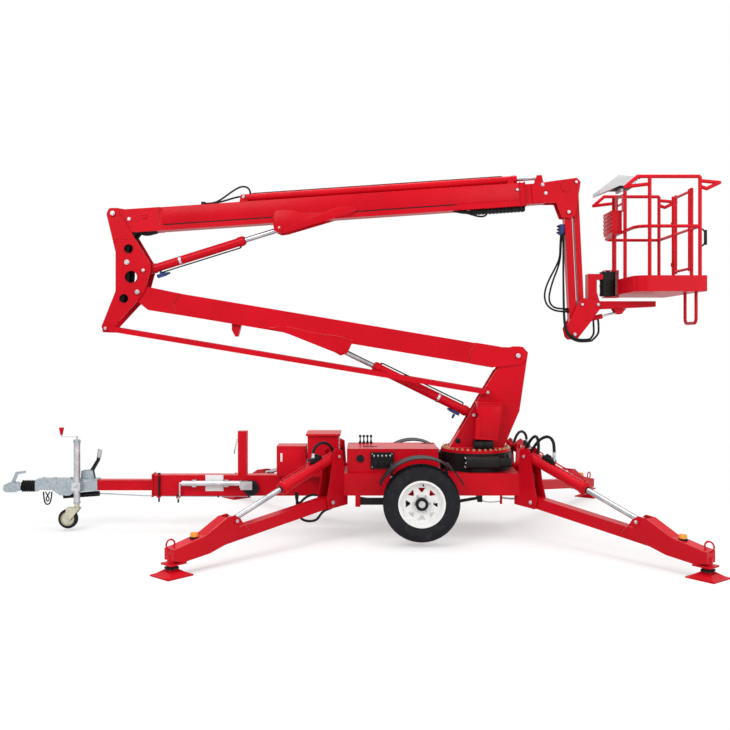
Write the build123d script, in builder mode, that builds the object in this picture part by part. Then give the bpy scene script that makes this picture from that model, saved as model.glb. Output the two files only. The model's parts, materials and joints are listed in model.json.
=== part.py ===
from build123d import *
import os
from math import cos, hypot, radians, sin

os.makedirs("parts", exist_ok=True)

# Towable articulated boom lift on four outriggers, in millimetres.
# X runs from the tow hitch to the platform, Y away from the viewer, Z up from the feet.

# Clearances
pin_gap = 0.3
rod_gap = 0.3
side_gap = 4

# Outriggers: reach is from the leg's pin to the foot's centre, in plan
leg_reach = 1730
leg_pin_y = 478
leg_pin_z = 350
leg_tube = 100
leg_wall = 6
leg_droop = 6.2
front_leg_x = -1430
rear_leg_x = 500
front_leg_angle = 48
rear_leg_angle = 52
leg_plate = 10
leg_pin_radius = 25
leg_ram_foot = (-85, 413)
leg_ram_back = 602
leg_ram_rise = -3
leg_barrel_radius = 52
leg_barrel_length = 690
leg_rod_radius = 24
leg_rod_length = 705
foot_side = 240
foot_plate = 12
foot_rise = 28

# Road wheels and running gear
axle_x = -576
axle_z = 387
tyre_radius = 344
tyre_width = 205
rim_radius = 206
hub_radius = 56
tyre_face_y = 850
guard_radius = 410
guard_width = 240
spring_y = 360

# Chassis and drawbar
chassis_front = -1320
chassis_rear = 560
chassis_half = 400
chassis_base = 391
chassis_height = 207
beam_width = 90
sleeve_front = -3149
sleeve_height = 200
sleeve_width = 120
drawbar_z = 432
bar_front = -3740
bar_side = 100
hitch_front = -4605
rest_ahead = 2273
rest_top = 957
brake_top = 576
jockey_ahead = 3865
spare_ahead = 2850

# Slewing ring and turret
ring_radius = 345
ring_height = 170
race_height = 30
turret_inner = 62
turret_plate = 14
cover_depth = 140

# Booms: angles are those of the shown pose
boom_pin = (400, 1693)
link_offset = (-299, -352)
lower_ram_foot = (-426, -576)
lower_length = 3728
lower_angle = 9.5
lower_height = 206
boom_half = 80
boom_wall = 6
lower_axis_drop = 50
lower_ram_pin = (1694, -232)
ram_slot = 410
cheek = 12
knuckle_rise = 759
knuckle_set = -238
upper_ram_foot = (57, 209)
upper_angle = 3.9
upper_height = 225
upper_axis_drop = 80
upper_end = 3998
upper_ram_pin = (1592, -250)
boom_pin_radius = 30
link_depth = 48
link_thick = 25

# Boom rams
lower_barrel_radius = 45
lower_barrel_length = 1072
lower_rod_radius = 26
lower_rod_length = 1085
upper_barrel_radius = 42
upper_barrel_length = 1005
upper_rod_radius = 26
upper_rod_length = 990
extend_radius = 37
extend_rod_radius = 18
extend_rise = 46

# Telescopic section and jib
inner_height = 195
inner_half = 66
inner_wall = 6
inner_start = 700
inner_end = 4180
jib_pin = (4399, -283)
jib_offset = (73, 290)
jib_length = 1187
jib_lean = 2.8
jib_depth = 70
jib_half = 52
jib_link_depth = 54
jib_link_half = 40
head_plate = 12
level_pin = (227, 289)
level_ram_foot = (122, 138)
level_ram_lug = (215, -70)
level_barrel_length = 168
level_rod_length = 170

# Platform: its floor is set from the levelling pin
rotor_ahead = 112
rotor_radius = 74
rotor_base = 84
rotor_height = 235
platform_ahead = 206
platform_length = 655
platform_half = 590
platform_floor = 100
toe_height = 146
rail_height = 1050
mid_rail = 597
rail_radius = 17
loop_radius = 15.5
sheet = 4
guard_tip = 120
guard_drop = 70
rail_inset = 58
side_post = 137
hinge_y = 136
latch_y = -357


def bearing(length, rise, angle):
    a = radians(angle)
    return (length * cos(a) - rise * sin(a), length * sin(a) + rise * cos(a))


def plus(a, b):
    return (a[0] + b[0], a[1] + b[1])


def polygon(plane, points, corner=0):
    with BuildSketch(plane) as face:
        with BuildLine():
            Polyline(*points, close=True)
        make_face()
        if corner:
            fillet(face.vertices(), corner)
    return face.sketch


def disc(plane, centre, radius):
    with BuildSketch(plane) as face:
        with Locations(centre):
            Circle(radius)
    return face.sketch


def box_ring(plane, width, height, wall):
    with BuildSketch(plane) as face:
        Rectangle(width, height)
        Rectangle(width - 2 * wall, height - 2 * wall, mode=Mode.SUBTRACT)
    return face.sketch


def weld_plates(plane, points, inner, thick, corner=0):
    for side in (1, -1):
        extrude(polygon(plane.offset(side * (inner + thick / 2)), points, corner), amount=thick / 2, both=True)


def weld_discs(plane, centre, radius, inner, thick):
    for side in (1, -1):
        extrude(disc(plane.offset(side * (inner + thick / 2)), centre, radius), amount=thick / 2, both=True)


def weld_pin(plane, centre, radius, half):
    extrude(disc(plane, centre, radius), amount=half, both=True)


def bore(plane, centre, radius, half):
    extrude(disc(plane, centre, radius), amount=half, both=True, mode=Mode.SUBTRACT)


def hollow_box(x, y, z, thick):
    with BuildSketch(Plane.XY.offset(z[0])) as face:
        with Locations(((x[0] + x[1]) / 2, (y[0] + y[1]) / 2)):
            Rectangle(x[1] - x[0], y[1] - y[0])
    extrude(face.sketch, amount=z[1] - z[0])
    with BuildSketch(Plane.XY.offset(z[0] + thick)) as room:
        with Locations(((x[0] + x[1]) / 2, (y[0] + y[1]) / 2)):
            Rectangle(x[1] - x[0] - 2 * thick, y[1] - y[0] - 2 * thick)
    extrude(room.sketch, amount=z[1] - z[0], mode=Mode.SUBTRACT)


def block(x, y, z):
    with BuildSketch(Plane.XY.offset(z[0])) as face:
        with Locations(((x[0] + x[1]) / 2, (y[0] + y[1]) / 2)):
            Rectangle(x[1] - x[0], y[1] - y[0])
    extrude(face.sketch, amount=z[1] - z[0])


def tube(path, radius):
    for start, end in zip(path, path[1:]):
        run = Vector(*end) - Vector(*start)
        with Locations(Plane(origin=start, z_dir=run)):
            Cylinder(radius, run.length, align=(Align.CENTER, Align.CENTER, Align.MIN))
    for knee in path[1:-1]:
        with Locations(knee):
            Sphere(radius)


def save(name, builder):
    builder.part.label = name
    export_step(builder.part, "parts/" + name + ".step")


# Outrigger ram pin in the leg's own plane, kept its distance back from the foot
leg_ram_pin = (leg_reach - leg_ram_back, leg_ram_rise)

# Pins in the X-Z plane, measured from the slewing axis, then moved to the middle of the whole machine
lower_tip = plus(boom_pin, bearing(-lower_length, 0, -lower_angle))
upper_root = plus(lower_tip, (knuckle_set, knuckle_rise))
jib_top = plus(upper_root, bearing(jib_pin[0], jib_pin[1], upper_angle))
jib_foot = plus(jib_top, (jib_length * sin(radians(jib_lean)), -jib_length * cos(radians(jib_lean))))
level = plus(jib_foot, level_pin)
platform_front = level[0] + platform_ahead
slew_x = (-hitch_front - (platform_front + platform_length + guard_tip + rail_radius)) / 2


def placed(point):
    return (point[0] + slew_x, point[1])


boom_a = placed(boom_pin)
link_b = plus(boom_a, link_offset)
ram_k = plus(boom_a, lower_ram_foot)
tip_a = placed(lower_tip)
tip_b = plus(tip_a, link_offset)
ram_q = plus(tip_a, upper_ram_foot)
root_c = placed(upper_root)
jib_a = placed(jib_top)
jib_b = plus(jib_a, jib_offset)
foot_a = placed(jib_foot)
foot_b = plus(foot_a, jib_offset)
level_v = placed(level)
level_k = plus(foot_a, level_ram_foot)
level_l = plus(level_v, level_ram_lug)

side = Plane.XZ
lower_plane = Plane(
    origin=(boom_a[0], 0, boom_a[1]),
    x_dir=(-cos(radians(lower_angle)), 0, sin(radians(lower_angle))),
    z_dir=(0, 1, 0),
)
upper_plane = Plane(
    origin=(root_c[0], 0, root_c[1]),
    x_dir=(cos(radians(upper_angle)), 0, sin(radians(upper_angle))),
    z_dir=(0, -1, 0),
)
jib_plane = Plane(
    origin=(jib_a[0], 0, jib_a[1]),
    x_dir=(sin(radians(jib_lean)), 0, -cos(radians(jib_lean))),
    z_dir=(0, -1, 0),
)
chassis_top = chassis_base + chassis_height
ring_top = chassis_top + ring_height
turret_base = ring_top + race_height


def ram_plane(start, end):
    return Plane(origin=(start[0], 0, start[1]), x_dir=(0, 1, 0), z_dir=(end[0] - start[0], 0, end[1] - start[1]))


def ram_barrel(start, end, radius, length, rod, pin, eye_half):
    along = ram_plane(start, end)
    extrude(disc(along.offset(pin + 12), (0, 0), radius), amount=length - pin - 12)
    extrude(disc(side, start, pin + 16), amount=eye_half, both=True)
    bore(side, start, pin + pin_gap, eye_half + 1)
    extrude(disc(along.offset(pin + 18), (0, 0), rod + rod_gap), amount=length, mode=Mode.SUBTRACT)


def ram_rod(start, end, radius, length, eye, eye_half, cross_half):
    reach = hypot(end[0] - start[0], end[1] - start[1])
    extrude(disc(ram_plane(start, end).offset(reach - length), (0, 0), radius), amount=length)
    extrude(disc(side, end, eye), amount=eye_half, both=True)
    extrude(disc(side, end, eye * 0.6), amount=cross_half, both=True)


# Chassis: two box beams, cross members, slewing deck and the outrigger brackets
# legs columns: name, pin x, side of Y, plan angle from the X axis
leg_table = [
    ("front_near", front_leg_x, -1, 180 + front_leg_angle),
    ("front_far", front_leg_x, 1, 180 - front_leg_angle),
    ("rear_near", rear_leg_x, -1, -rear_leg_angle),
    ("rear_far", rear_leg_x, 1, rear_leg_angle),
]


def leg_plane(x, hand, angle):
    out = (cos(radians(angle)), sin(radians(angle)), 0)
    return Plane(origin=(slew_x + x, hand * leg_pin_y, leg_pin_z), x_dir=out, z_dir=(out[1], -out[0], 0))


bracket_inner = leg_tube / 2 + side_gap
bracket_outline = [
    (-210, -45),
    (40, -60),
    (70, 20),
    (20, 200),
    (-20, 470),
    (-60, 490),
    (-140, 470),
    (-165, 250),
    (-210, 240),
]
with BuildPart() as chassis:
    for hand in (1, -1):
        mid = hand * (chassis_half - beam_width / 2)
        with BuildSketch(Plane.YZ.offset(slew_x + chassis_front)) as section:
            with Locations((mid, chassis_base + chassis_height / 2)):
                Rectangle(beam_width, chassis_height)
                Rectangle(beam_width - 12, chassis_height - 12, mode=Mode.SUBTRACT)
        extrude(section.sketch, amount=chassis_rear - chassis_front)
    rail_gap = chassis_half - beam_width / 2
    for x in (chassis_front + 50, axle_x - 260, chassis_rear - 50):
        block(
            (slew_x + x - 50, slew_x + x + 50),
            (-rail_gap, rail_gap),
            (chassis_base + 20, chassis_top - 20),
        )
    block(
        (slew_x - ring_radius - 20, slew_x + ring_radius + 20),
        (-rail_gap, rail_gap),
        (chassis_top - 20, chassis_top),
    )
    for name, x, hand, angle in leg_table:
        plane = leg_plane(x, hand, angle)
        weld_plates(plane, bracket_outline, bracket_inner, leg_plate)
        weld_pin(plane, (0, 0), leg_pin_radius, bracket_inner + leg_plate + 12)
        weld_pin(plane, leg_ram_foot, leg_pin_radius - 5, bracket_inner + leg_plate + 10)
save("chassis_frame", chassis)

# Outriggers: a box leg with cheeks at the head, a foot and a warning lamp
droop = radians(leg_droop)
for name, x, hand, angle in leg_table:
    plane = leg_plane(x, hand, angle)
    head_z = -leg_reach * sin(droop) / cos(droop)
    run = Plane(origin=plane.from_local_coords((0, 0, 0)), x_dir=plane.z_dir,
                z_dir=plane.from_local_coords((1000, -1000 * sin(droop) / cos(droop), 0))
                - plane.from_local_coords((0, 0, 0)))
    with BuildPart() as leg:
        extrude(disc(plane, (0, 0), leg_tube / 2), amount=leg_tube / 2, both=True)
        extrude(box_ring(run.offset(30), leg_tube, leg_tube, leg_wall), amount=leg_reach - 160)
        bore(plane, (0, 0), leg_pin_radius + pin_gap, leg_tube)
        cheeks = [
            (leg_ram_pin[0] - 130, leg_ram_pin[1] - 110),
            (leg_ram_pin[0] - 45, leg_ram_pin[1] + 10),
            (leg_ram_pin[0] + 10, leg_ram_pin[1] + 48),
            (leg_ram_pin[0] + 90, leg_ram_pin[1] + 40),
            (leg_reach - 280, head_z + 112),
            (leg_reach - 60, head_z + 66),
            (leg_reach + 25, head_z + 50),
            (leg_reach + 25, head_z - 40),
            (leg_reach - 70, head_z - 62),
            (leg_reach - 330, head_z - 36),
        ]
        weld_plates(plane, cheeks, leg_tube / 2, leg_plate)
        crown = [
            (leg_ram_pin[0] + 90, leg_ram_pin[1] + 40),
            (leg_reach - 280, head_z + 112),
            (leg_reach - 60, head_z + 66),
            (leg_reach + 25, head_z + 50),
            (leg_reach + 25, head_z + 38),
            (leg_reach - 60, head_z + 54),
            (leg_reach - 284, head_z + 100),
            (leg_ram_pin[0] + 90, leg_ram_pin[1] + 26),
        ]
        extrude(polygon(plane, crown), amount=leg_tube / 2, both=True)
        cap = [
            (leg_reach + 13, head_z + 40),
            (leg_reach + 25, head_z + 50),
            (leg_reach + 25, head_z - 40),
            (leg_reach + 13, head_z - 42),
        ]
        extrude(polygon(plane, cap), amount=leg_tube / 2, both=True)
        weld_discs(plane, leg_ram_pin, 30, leg_tube / 2 + leg_plate, 8)
        foot = plane.from_local_coords((leg_reach, 0, 0))
        lamp = plane.from_local_coords((leg_reach - 215, head_z + 96, 0))
        turn = Rotation(0, 0, angle)
        sole = Location((foot.X, foot.Y, 0)) * turn
        with Locations(sole):
            Box(foot_side, foot_side, foot_plate, align=(Align.CENTER, Align.CENTER, Align.MIN))
        with BuildSketch(Plane(sole).offset(foot_plate)) as low:
            Rectangle(foot_side * 0.86, foot_side * 0.86)
        with BuildSketch(Plane(sole).offset(foot_plate + foot_rise)) as high:
            Rectangle(foot_side * 0.44, foot_side * 0.44)
        loft([low.sketch.face(), high.sketch.face()])
        neck = leg_pin_z + head_z - foot_plate
        with Locations(sole * Location((0, 0, foot_plate))):
            Cylinder(36, neck, align=(Align.CENTER, Align.CENTER, Align.MIN))
        with Locations(sole * Location((-20, 0, leg_pin_z + head_z - 74))):
            Box(150, leg_tube + 2 * leg_plate + 12, 14, align=(Align.CENTER, Align.CENTER, Align.MIN))
        with Locations(Location((lamp.X, lamp.Y, lamp.Z))):
            Cylinder(28, 44, align=(Align.CENTER, Align.CENTER, Align.MIN))
    save("leg_" + name, leg)

    base = plane.from_local_coords((leg_ram_foot[0], leg_ram_foot[1], 0))
    pin = plane.from_local_coords((leg_ram_pin[0], leg_ram_pin[1], 0))
    reach = (pin - base).length
    along = Plane(origin=base, x_dir=plane.z_dir, z_dir=pin - base)
    with BuildPart() as barrel:
        extrude(disc(along.offset(leg_pin_radius + 10), (0, 0), leg_barrel_radius),
                amount=leg_barrel_length - leg_pin_radius - 10)
        extrude(disc(plane, leg_ram_foot, leg_pin_radius + 14), amount=leg_tube / 2, both=True)
        bore(plane, leg_ram_foot, leg_pin_radius - 5 + pin_gap, leg_tube)
        extrude(disc(along.offset(44), (0, 0), leg_rod_radius + rod_gap), amount=leg_barrel_length,
                mode=Mode.SUBTRACT)
        port = along.offset(leg_barrel_length - 40)
        extrude(disc(port, (0, 0), leg_barrel_radius + 6), amount=40)
        extrude(disc(port.offset(-1), (0, 0), leg_rod_radius + rod_gap), amount=80, mode=Mode.SUBTRACT)
    save("leg_barrel_" + name, barrel)
    with BuildPart() as rod:
        extrude(disc(along.offset(reach - leg_rod_length), (0, 0), leg_rod_radius), amount=leg_rod_length)
        extrude(disc(plane, leg_ram_pin, 32), amount=32, both=True)
        extrude(disc(plane, leg_ram_pin, 20), amount=leg_tube / 2 - 3, both=True)
    save("leg_rod_" + name, rod)

# Drawbar: sleeve, inner bar and the post that the lower boom rests on
rest_x = slew_x - rest_ahead
with BuildPart() as drawbar:
    for start, end, width, height in (
        (sleeve_front, chassis_front, sleeve_width, sleeve_height),
        (bar_front, sleeve_front + 300, bar_side, bar_side),
    ):
        section = box_ring(Plane(origin=(slew_x + start, 0, drawbar_z), x_dir=(0, 1, 0), z_dir=(1, 0, 0)),
                           width, height, 8)
        extrude(section, amount=end - start)
    collar = Plane(origin=(slew_x + sleeve_front, 0, drawbar_z), x_dir=(0, 1, 0), z_dir=(1, 0, 0))
    extrude(box_ring(collar, sleeve_width + 30, sleeve_height + 24, (sleeve_width + 30 - bar_side) / 2), amount=14)
    block((rest_x - 44, rest_x + 44), (-44, 44), (drawbar_z + sleeve_height / 2, rest_top))
save("drawbar", drawbar)

# Coupling: overrun housing, ball head with its lever, bellows and the handbrake
hitch_x = slew_x + hitch_front
bar_end = slew_x + bar_front
with BuildPart() as coupling:
    housing = [
        (hitch_x + 320, drawbar_z + 50),
        (bar_end + 60, drawbar_z + 50),
        (bar_end + 60, drawbar_z + 60),
        (hitch_x + 380, drawbar_z + 60),
        (hitch_x + 320, drawbar_z + 54),
    ]
    extrude(polygon(side, housing), amount=62, both=True)
    cheek_side = [
        (hitch_x + 320, drawbar_z + 54),
        (bar_end + 60, drawbar_z + 56),
        (bar_end + 60, drawbar_z - 54),
        (bar_end - 150, drawbar_z - 62),
        (bar_end - 210, drawbar_z - 98),
        (bar_end - 300, drawbar_z - 98),
        (bar_end - 375, drawbar_z - 48),
        (hitch_x + 320, drawbar_z - 42),
    ]
    weld_plates(side, cheek_side, bar_side / 2, 10)
    stand = [
        (bar_end - 108, drawbar_z + 55),
        (bar_end - 104, brake_top - 6),
        (bar_end + 4, brake_top),
        (bar_end + 22, drawbar_z + 55),
    ]
    weld_plates(side, stand, 24, 8)
    extrude(disc(Plane(origin=(hitch_x + 165, 0, drawbar_z - 14), x_dir=(0, 1, 0), z_dir=(1, 0, 0)), (0, 0), 36),
            amount=bar_end - hitch_x - 240)
    with Locations((hitch_x + 330, 0, drawbar_z - 14)):
        Box(20, 2 * bar_side / 2 + 20, 90)
    cup = [
        (hitch_x, drawbar_z - 48),
        (hitch_x + 8, drawbar_z - 2),
        (hitch_x + 60, drawbar_z + 26),
        (hitch_x + 130, drawbar_z + 22),
        (hitch_x + 172, drawbar_z - 6),
        (hitch_x + 172, drawbar_z - 54),
        (hitch_x + 120, drawbar_z - 70),
        (hitch_x + 30, drawbar_z - 70),
    ]
    extrude(polygon(side, cup, 8), amount=42, both=True)
    with Locations((hitch_x + 52, 0, drawbar_z - 70)):
        Sphere(25.5, mode=Mode.SUBTRACT)
    grip = [
        (hitch_x + 70, drawbar_z + 20),
        (hitch_x + 100, drawbar_z + 20),
        (hitch_x + 132, drawbar_z + 98),
        (hitch_x + 205, drawbar_z + 112),
        (hitch_x + 205, drawbar_z + 134),
        (hitch_x + 115, drawbar_z + 124),
    ]
    extrude(polygon(side, grip), amount=14, both=True)
save("coupling", coupling)

with BuildPart() as bellows:
    start = hitch_x + 172
    with BuildSketch(Plane.XZ) as folds:
        with BuildLine():
            points = [(start, drawbar_z - 14 + 36)]
            for i in range(6):
                points.append((start + 12 + i * 22, drawbar_z - 14 + 58))
                points.append((start + 23 + i * 22, drawbar_z - 14 + 44))
            points.append((hitch_x + 320, drawbar_z - 14 + 56))
            points.append((hitch_x + 320, drawbar_z - 14 + 36))
            Polyline(*points, close=True)
        make_face()
    revolve(folds.sketch, axis=Axis((start, 0, drawbar_z - 14), (1, 0, 0)))
save("coupling_bellows", bellows)

# Handbrake: cranked lever between its two plates, and the spring tube of its rod below
with BuildPart() as handbrake:
    stem = [
        (bar_end - 60, brake_top - 60),
        (bar_end - 20, brake_top - 70),
        (bar_end + 28, brake_top + 24),
        (bar_end + 66, brake_top + 90),
        (bar_end + 84, brake_top + 196),
        (bar_end + 56, brake_top + 202),
        (bar_end + 40, brake_top + 104),
        (bar_end + 4, brake_top + 44),
    ]
    extrude(polygon(side, stem), amount=16, both=True)
    spring_tube = Plane(origin=(bar_end - 285, 0, drawbar_z - 112), x_dir=(0, 1, 0), z_dir=(1, 0, 0.07))
    extrude(disc(spring_tube, (0, 0), 25), amount=350)
save("handbrake", handbrake)

# Nose wheel: clamped post on the near side, a swivelling fork and its wheel
jockey_x = slew_x - jockey_ahead
jockey_y = -(bar_side / 2 + 10 + 34)
jockey_z = 118
jockey_radius = 94
caster = 84
with BuildPart() as jockey:
    with Locations((jockey_x, jockey_y, 262)):
        Cylinder(31, 620, align=(Align.CENTER, Align.CENTER, Align.MIN))
    with Locations((jockey_x, jockey_y, 262)):
        Cylinder(20.3, 40, align=(Align.CENTER, Align.CENTER, Align.MIN), mode=Mode.SUBTRACT)
    block((jockey_x - 42, jockey_x + 42), (jockey_y - 40, -(bar_side / 2 + 10)), (drawbar_z - 40, drawbar_z + 40))
    tube([(jockey_x, jockey_y, 880), (jockey_x, jockey_y, 914), (jockey_x - 150, jockey_y, 914),
          (jockey_x - 150, jockey_y, 950)], 9)
save("jockey_post", jockey)

with BuildPart() as fork:
    with Locations((jockey_x, jockey_y, 222)):
        Cylinder(26, 36, align=(Align.CENTER, Align.CENTER, Align.MIN))
    with Locations((jockey_x, jockey_y, 250)):
        Cylinder(20, 48, align=(Align.CENTER, Align.CENTER, Align.MIN))
    prong = [
        (jockey_x - caster - 22, jockey_z - 20),
        (jockey_x - caster + 20, jockey_z - 20),
        (jockey_x + 30, 214),
        (jockey_x + 30, 226),
        (jockey_x - caster - 10, 226),
    ]
    for hand in (1, -1):
        plane = Plane.XZ.offset(-jockey_y + hand * 38)
        extrude(polygon(plane, prong), amount=3, both=True)
    block((jockey_x - caster - 10, jockey_x + 30), (jockey_y - 41, jockey_y + 41), (218, 226))
    extrude(disc(Plane.XZ.offset(-jockey_y), (jockey_x - caster, jockey_z), 9), amount=48, both=True)
save("jockey_fork", fork)

with BuildPart() as jockey_wheel:
    with BuildSketch(Plane.XZ.offset(-jockey_y)) as wheel_face:
        with Locations((jockey_x - caster, jockey_z)):
            Circle(jockey_radius)
            Circle(9 + pin_gap, mode=Mode.SUBTRACT)
    extrude(wheel_face.sketch, amount=30, both=True)
save("jockey_wheel", jockey_wheel)

# Spare support wheel, stowed along the drawbar's near side
spare_x = slew_x - spare_ahead
spare_y = -(sleeve_width / 2 + 38)
spare_z = 459
spare_wheel_x = spare_x + 668
with BuildPart() as spare:
    spare_axis = Plane(origin=(spare_x, spare_y, spare_z), x_dir=(0, 1, 0), z_dir=(1, 0, 0))
    extrude(disc(spare_axis, (0, 0), 25), amount=580)
    for x in (spare_x + 120, spare_x + 430):
        block((x - 20, x + 20), (spare_y - 12, -sleeve_width / 2), (spare_z - 34, spare_z + 34))
    tube([(spare_x + 4, spare_y, spare_z), (spare_x - 20, spare_y, spare_z), (spare_x - 20, spare_y, spare_z - 130),
          (spare_x - 20, spare_y - 80, spare_z - 130)], 9)
    for hand in (1, -1):
        block((spare_x + 570, spare_wheel_x + 15), (spare_y + hand * 29 - 3, spare_y + hand * 29 + 3),
              (spare_z - 60, spare_z + 22))
    block((spare_x + 560, spare_x + 580), (spare_y - 32, spare_y + 32), (spare_z - 40, spare_z + 28))
    extrude(disc(Plane.XZ.offset(-spare_y), (spare_wheel_x, spare_z - 46), 7), amount=32, both=True)
save("spare_jockey", spare)

with BuildPart() as spare_wheel:
    with BuildSketch(Plane.XZ.offset(-spare_y)) as wheel_face:
        with Locations((spare_wheel_x, spare_z - 46)):
            Circle(76)
            Circle(7 + pin_gap, mode=Mode.SUBTRACT)
    extrude(wheel_face.sketch, amount=21, both=True)
save("spare_wheel", spare_wheel)

# Running gear: cranked axle on leaf springs, wheels and guards
axle_at = slew_x + axle_x
hub_y = tyre_face_y - tyre_width
beam_z = 330
with BuildPart() as axle:
    block((axle_at - 32, axle_at + 32), (-hub_y + 30, hub_y - 30), (beam_z - 30, beam_z + 30))
    for hand in (1, -1):
        outer = hand * (hub_y - 30)
        block((axle_at - 42, axle_at + 42), (min(outer, outer + hand * 20), max(outer, outer + hand * 20)),
              (beam_z - 34, axle_z + 45))
        extrude(disc(Plane.XZ.offset(-hand * (hub_y + 60)), (axle_at, axle_z), 28), amount=90, both=True)
        leaf = [
            (axle_at - 590, 362),
            (axle_at - 560, 372),
            (axle_at - 100, beam_z - 30),
            (axle_at + 100, beam_z - 30),
            (axle_at + 560, 372),
            (axle_at + 590, 362),
            (axle_at + 110, beam_z - 56),
            (axle_at - 110, beam_z - 56),
        ]
        extrude(polygon(Plane.XZ.offset(-hand * spring_y), leaf), amount=30, both=True)
        for x in (-570, 570):
            block((axle_at + x - 22, axle_at + x + 22), (hand * spring_y - 36, hand * spring_y + 36), (330, chassis_base))
save("axle", axle)

# tyre columns: distance from the wheel's middle, radius
half = tyre_width / 2
tyre_profile = [
    (-half + 22, rim_radius - 6),
    (-half + 8, rim_radius + 14),
    (-half, rim_radius + 62),
    (-half + 10, tyre_radius - 30),
    (-half + 34, tyre_radius - 6),
    (-half + 60, tyre_radius),
    (half - 60, tyre_radius),
    (half - 34, tyre_radius - 6),
    (half - 10, tyre_radius - 30),
    (half, rim_radius + 62),
    (half - 8, rim_radius + 14),
    (half - 22, rim_radius - 6),
]
rim_profile = [
    (-half + 12, rim_radius + 4),
    (-half + 22, rim_radius - 6.3),
    (half - 22, rim_radius - 6.3),
    (half - 12, rim_radius + 4),
    (half - 12, rim_radius - 14),
    (half - 40, rim_radius - 30),
    (-half + 40, rim_radius - 30),
    (-half + 12, rim_radius - 14),
]
# rim hole columns: radius, distance across; wide side outwards
rim_hole = [(102, -8), (102, 8), (142, 34), (142, -34)]
for name, hand in (("near", -1), ("far", 1)):
    mid = hand * (tyre_face_y - tyre_width / 2)
    spin = Axis((axle_at, mid, axle_z), (0, 1, 0))
    with BuildPart() as tyre:
        with BuildSketch(Plane(origin=(axle_at, mid, axle_z), x_dir=(0, 1, 0), z_dir=(1, 0, 0))) as face:
            with BuildLine():
                Polyline(*tyre_profile, close=True)
            make_face()
        revolve(face.sketch, axis=spin)
    save("tyre_" + name, tyre)
    with BuildPart() as rim:
        with BuildSketch(Plane(origin=(axle_at, mid, axle_z), x_dir=(0, 1, 0), z_dir=(1, 0, 0))) as face:
            with BuildLine():
                Polyline(*rim_profile, close=True)
            make_face()
        revolve(face.sketch, axis=spin)
        plane = Plane(origin=(axle_at, mid + hand * 40, axle_z), x_dir=(1, 0, 0), z_dir=(0, -1, 0))
        with BuildSketch(plane):
            Circle(rim_radius - 20)
            with PolarLocations(0, 8):
                Polygon(*rim_hole, align=None, mode=Mode.SUBTRACT)
        extrude(amount=5, both=True)
        with BuildSketch(plane):
            Circle(hub_radius)
        extrude(amount=42, both=True)
        with BuildSketch(plane):
            Circle(28 + pin_gap)
        extrude(amount=120, both=True, mode=Mode.SUBTRACT)
        with BuildSketch(plane.offset(-hand * 44)):
            Circle(hub_radius - 4)
        extrude(amount=6, both=True)
    save("rim_" + name, rim)

with BuildPart() as guards:
    for hand in (1, -1):
        mid = hand * (tyre_face_y - tyre_width / 2)
        with BuildSketch(Plane.XZ.offset(-mid)) as arc:
            with BuildLine():
                CenterArc((axle_at, axle_z), guard_radius, 24, 132)
                CenterArc((axle_at, axle_z), guard_radius - 6, 24, 132)
                Line((axle_at + guard_radius * cos(radians(24)), axle_z + guard_radius * sin(radians(24))),
                     (axle_at + (guard_radius - 6) * cos(radians(24)), axle_z + (guard_radius - 6) * sin(radians(24))))
                Line((axle_at - guard_radius * cos(radians(24)), axle_z + guard_radius * sin(radians(24))),
                     (axle_at - (guard_radius - 6) * cos(radians(24)), axle_z + (guard_radius - 6) * sin(radians(24))))
            make_face()
        extrude(arc.sketch, amount=guard_width / 2, both=True)
        for turn in (50, 130):
            x = axle_at + (guard_radius - 12) * cos(radians(turn))
            z = axle_z + (guard_radius - 12) * sin(radians(turn))
            ends = sorted((hand * chassis_half, mid + hand * 60))
            block((x - 15, x + 15), ends, (z - 12, z + 10))
            block((x - 15, x + 15), sorted((hand * chassis_half, hand * (chassis_half + 8))),
                  (chassis_top - 60, z))
save("mudguards", guards)

# Boxes on the drawbar and chassis
deck = drawbar_z + sleeve_height / 2
box_x = (slew_x - 1931, slew_x - 1650)
with BuildPart() as small_box:
    block(box_x, (-130, 110), (deck, 822))
save("battery_box", small_box)

power_x = (slew_x - 1630, slew_x - 1332)
power_y = 180
power_top = 925
with BuildPart() as power_box:
    hollow_box(power_x, (-power_y, power_y), (deck, power_top), 5)
    block((power_x[0] + 40, power_x[1] - 40), (-power_y + 60, power_y - 60), (deck + 5, power_top - 90))
save("power_box", power_box)

with BuildPart() as lid:
    roof = [
        (-power_y - 24, power_top + 0.3),
        (power_y + 24, power_top + 0.3),
        (power_y + 24, power_top + 20),
        (0, power_top + 30),
        (-power_y - 24, power_top + 20),
    ]
    with BuildSketch(Plane.YZ.offset(power_x[0] - 14)) as face:
        with BuildLine():
            Polyline(*roof, close=True)
        make_face()
    extrude(face.sketch, amount=power_x[1] - power_x[0] + 28)
save("power_lid", lid)

control_x = (slew_x - 1250, slew_x - 390)
control_y = (-340, 190)
control_top = 818
with BuildPart() as control_box:
    block(control_x, control_y, (chassis_top, control_top))
save("control_box", control_box)

with BuildPart() as controls:
    block((control_x[0] + 226, control_x[0] + 436), (control_y[0] - 14, control_y[0]), (640, 786))
    for i in range(4):
        x = control_x[0] + 122 + i * 36
        with Locations((x, control_y[1] - 30, control_top)):
            Cylinder(6, 62, align=(Align.CENTER, Align.CENTER, Align.MIN))
        with Locations((x, control_y[1] - 30, control_top + 70)):
            Sphere(14)
save("controls", controls)

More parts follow.
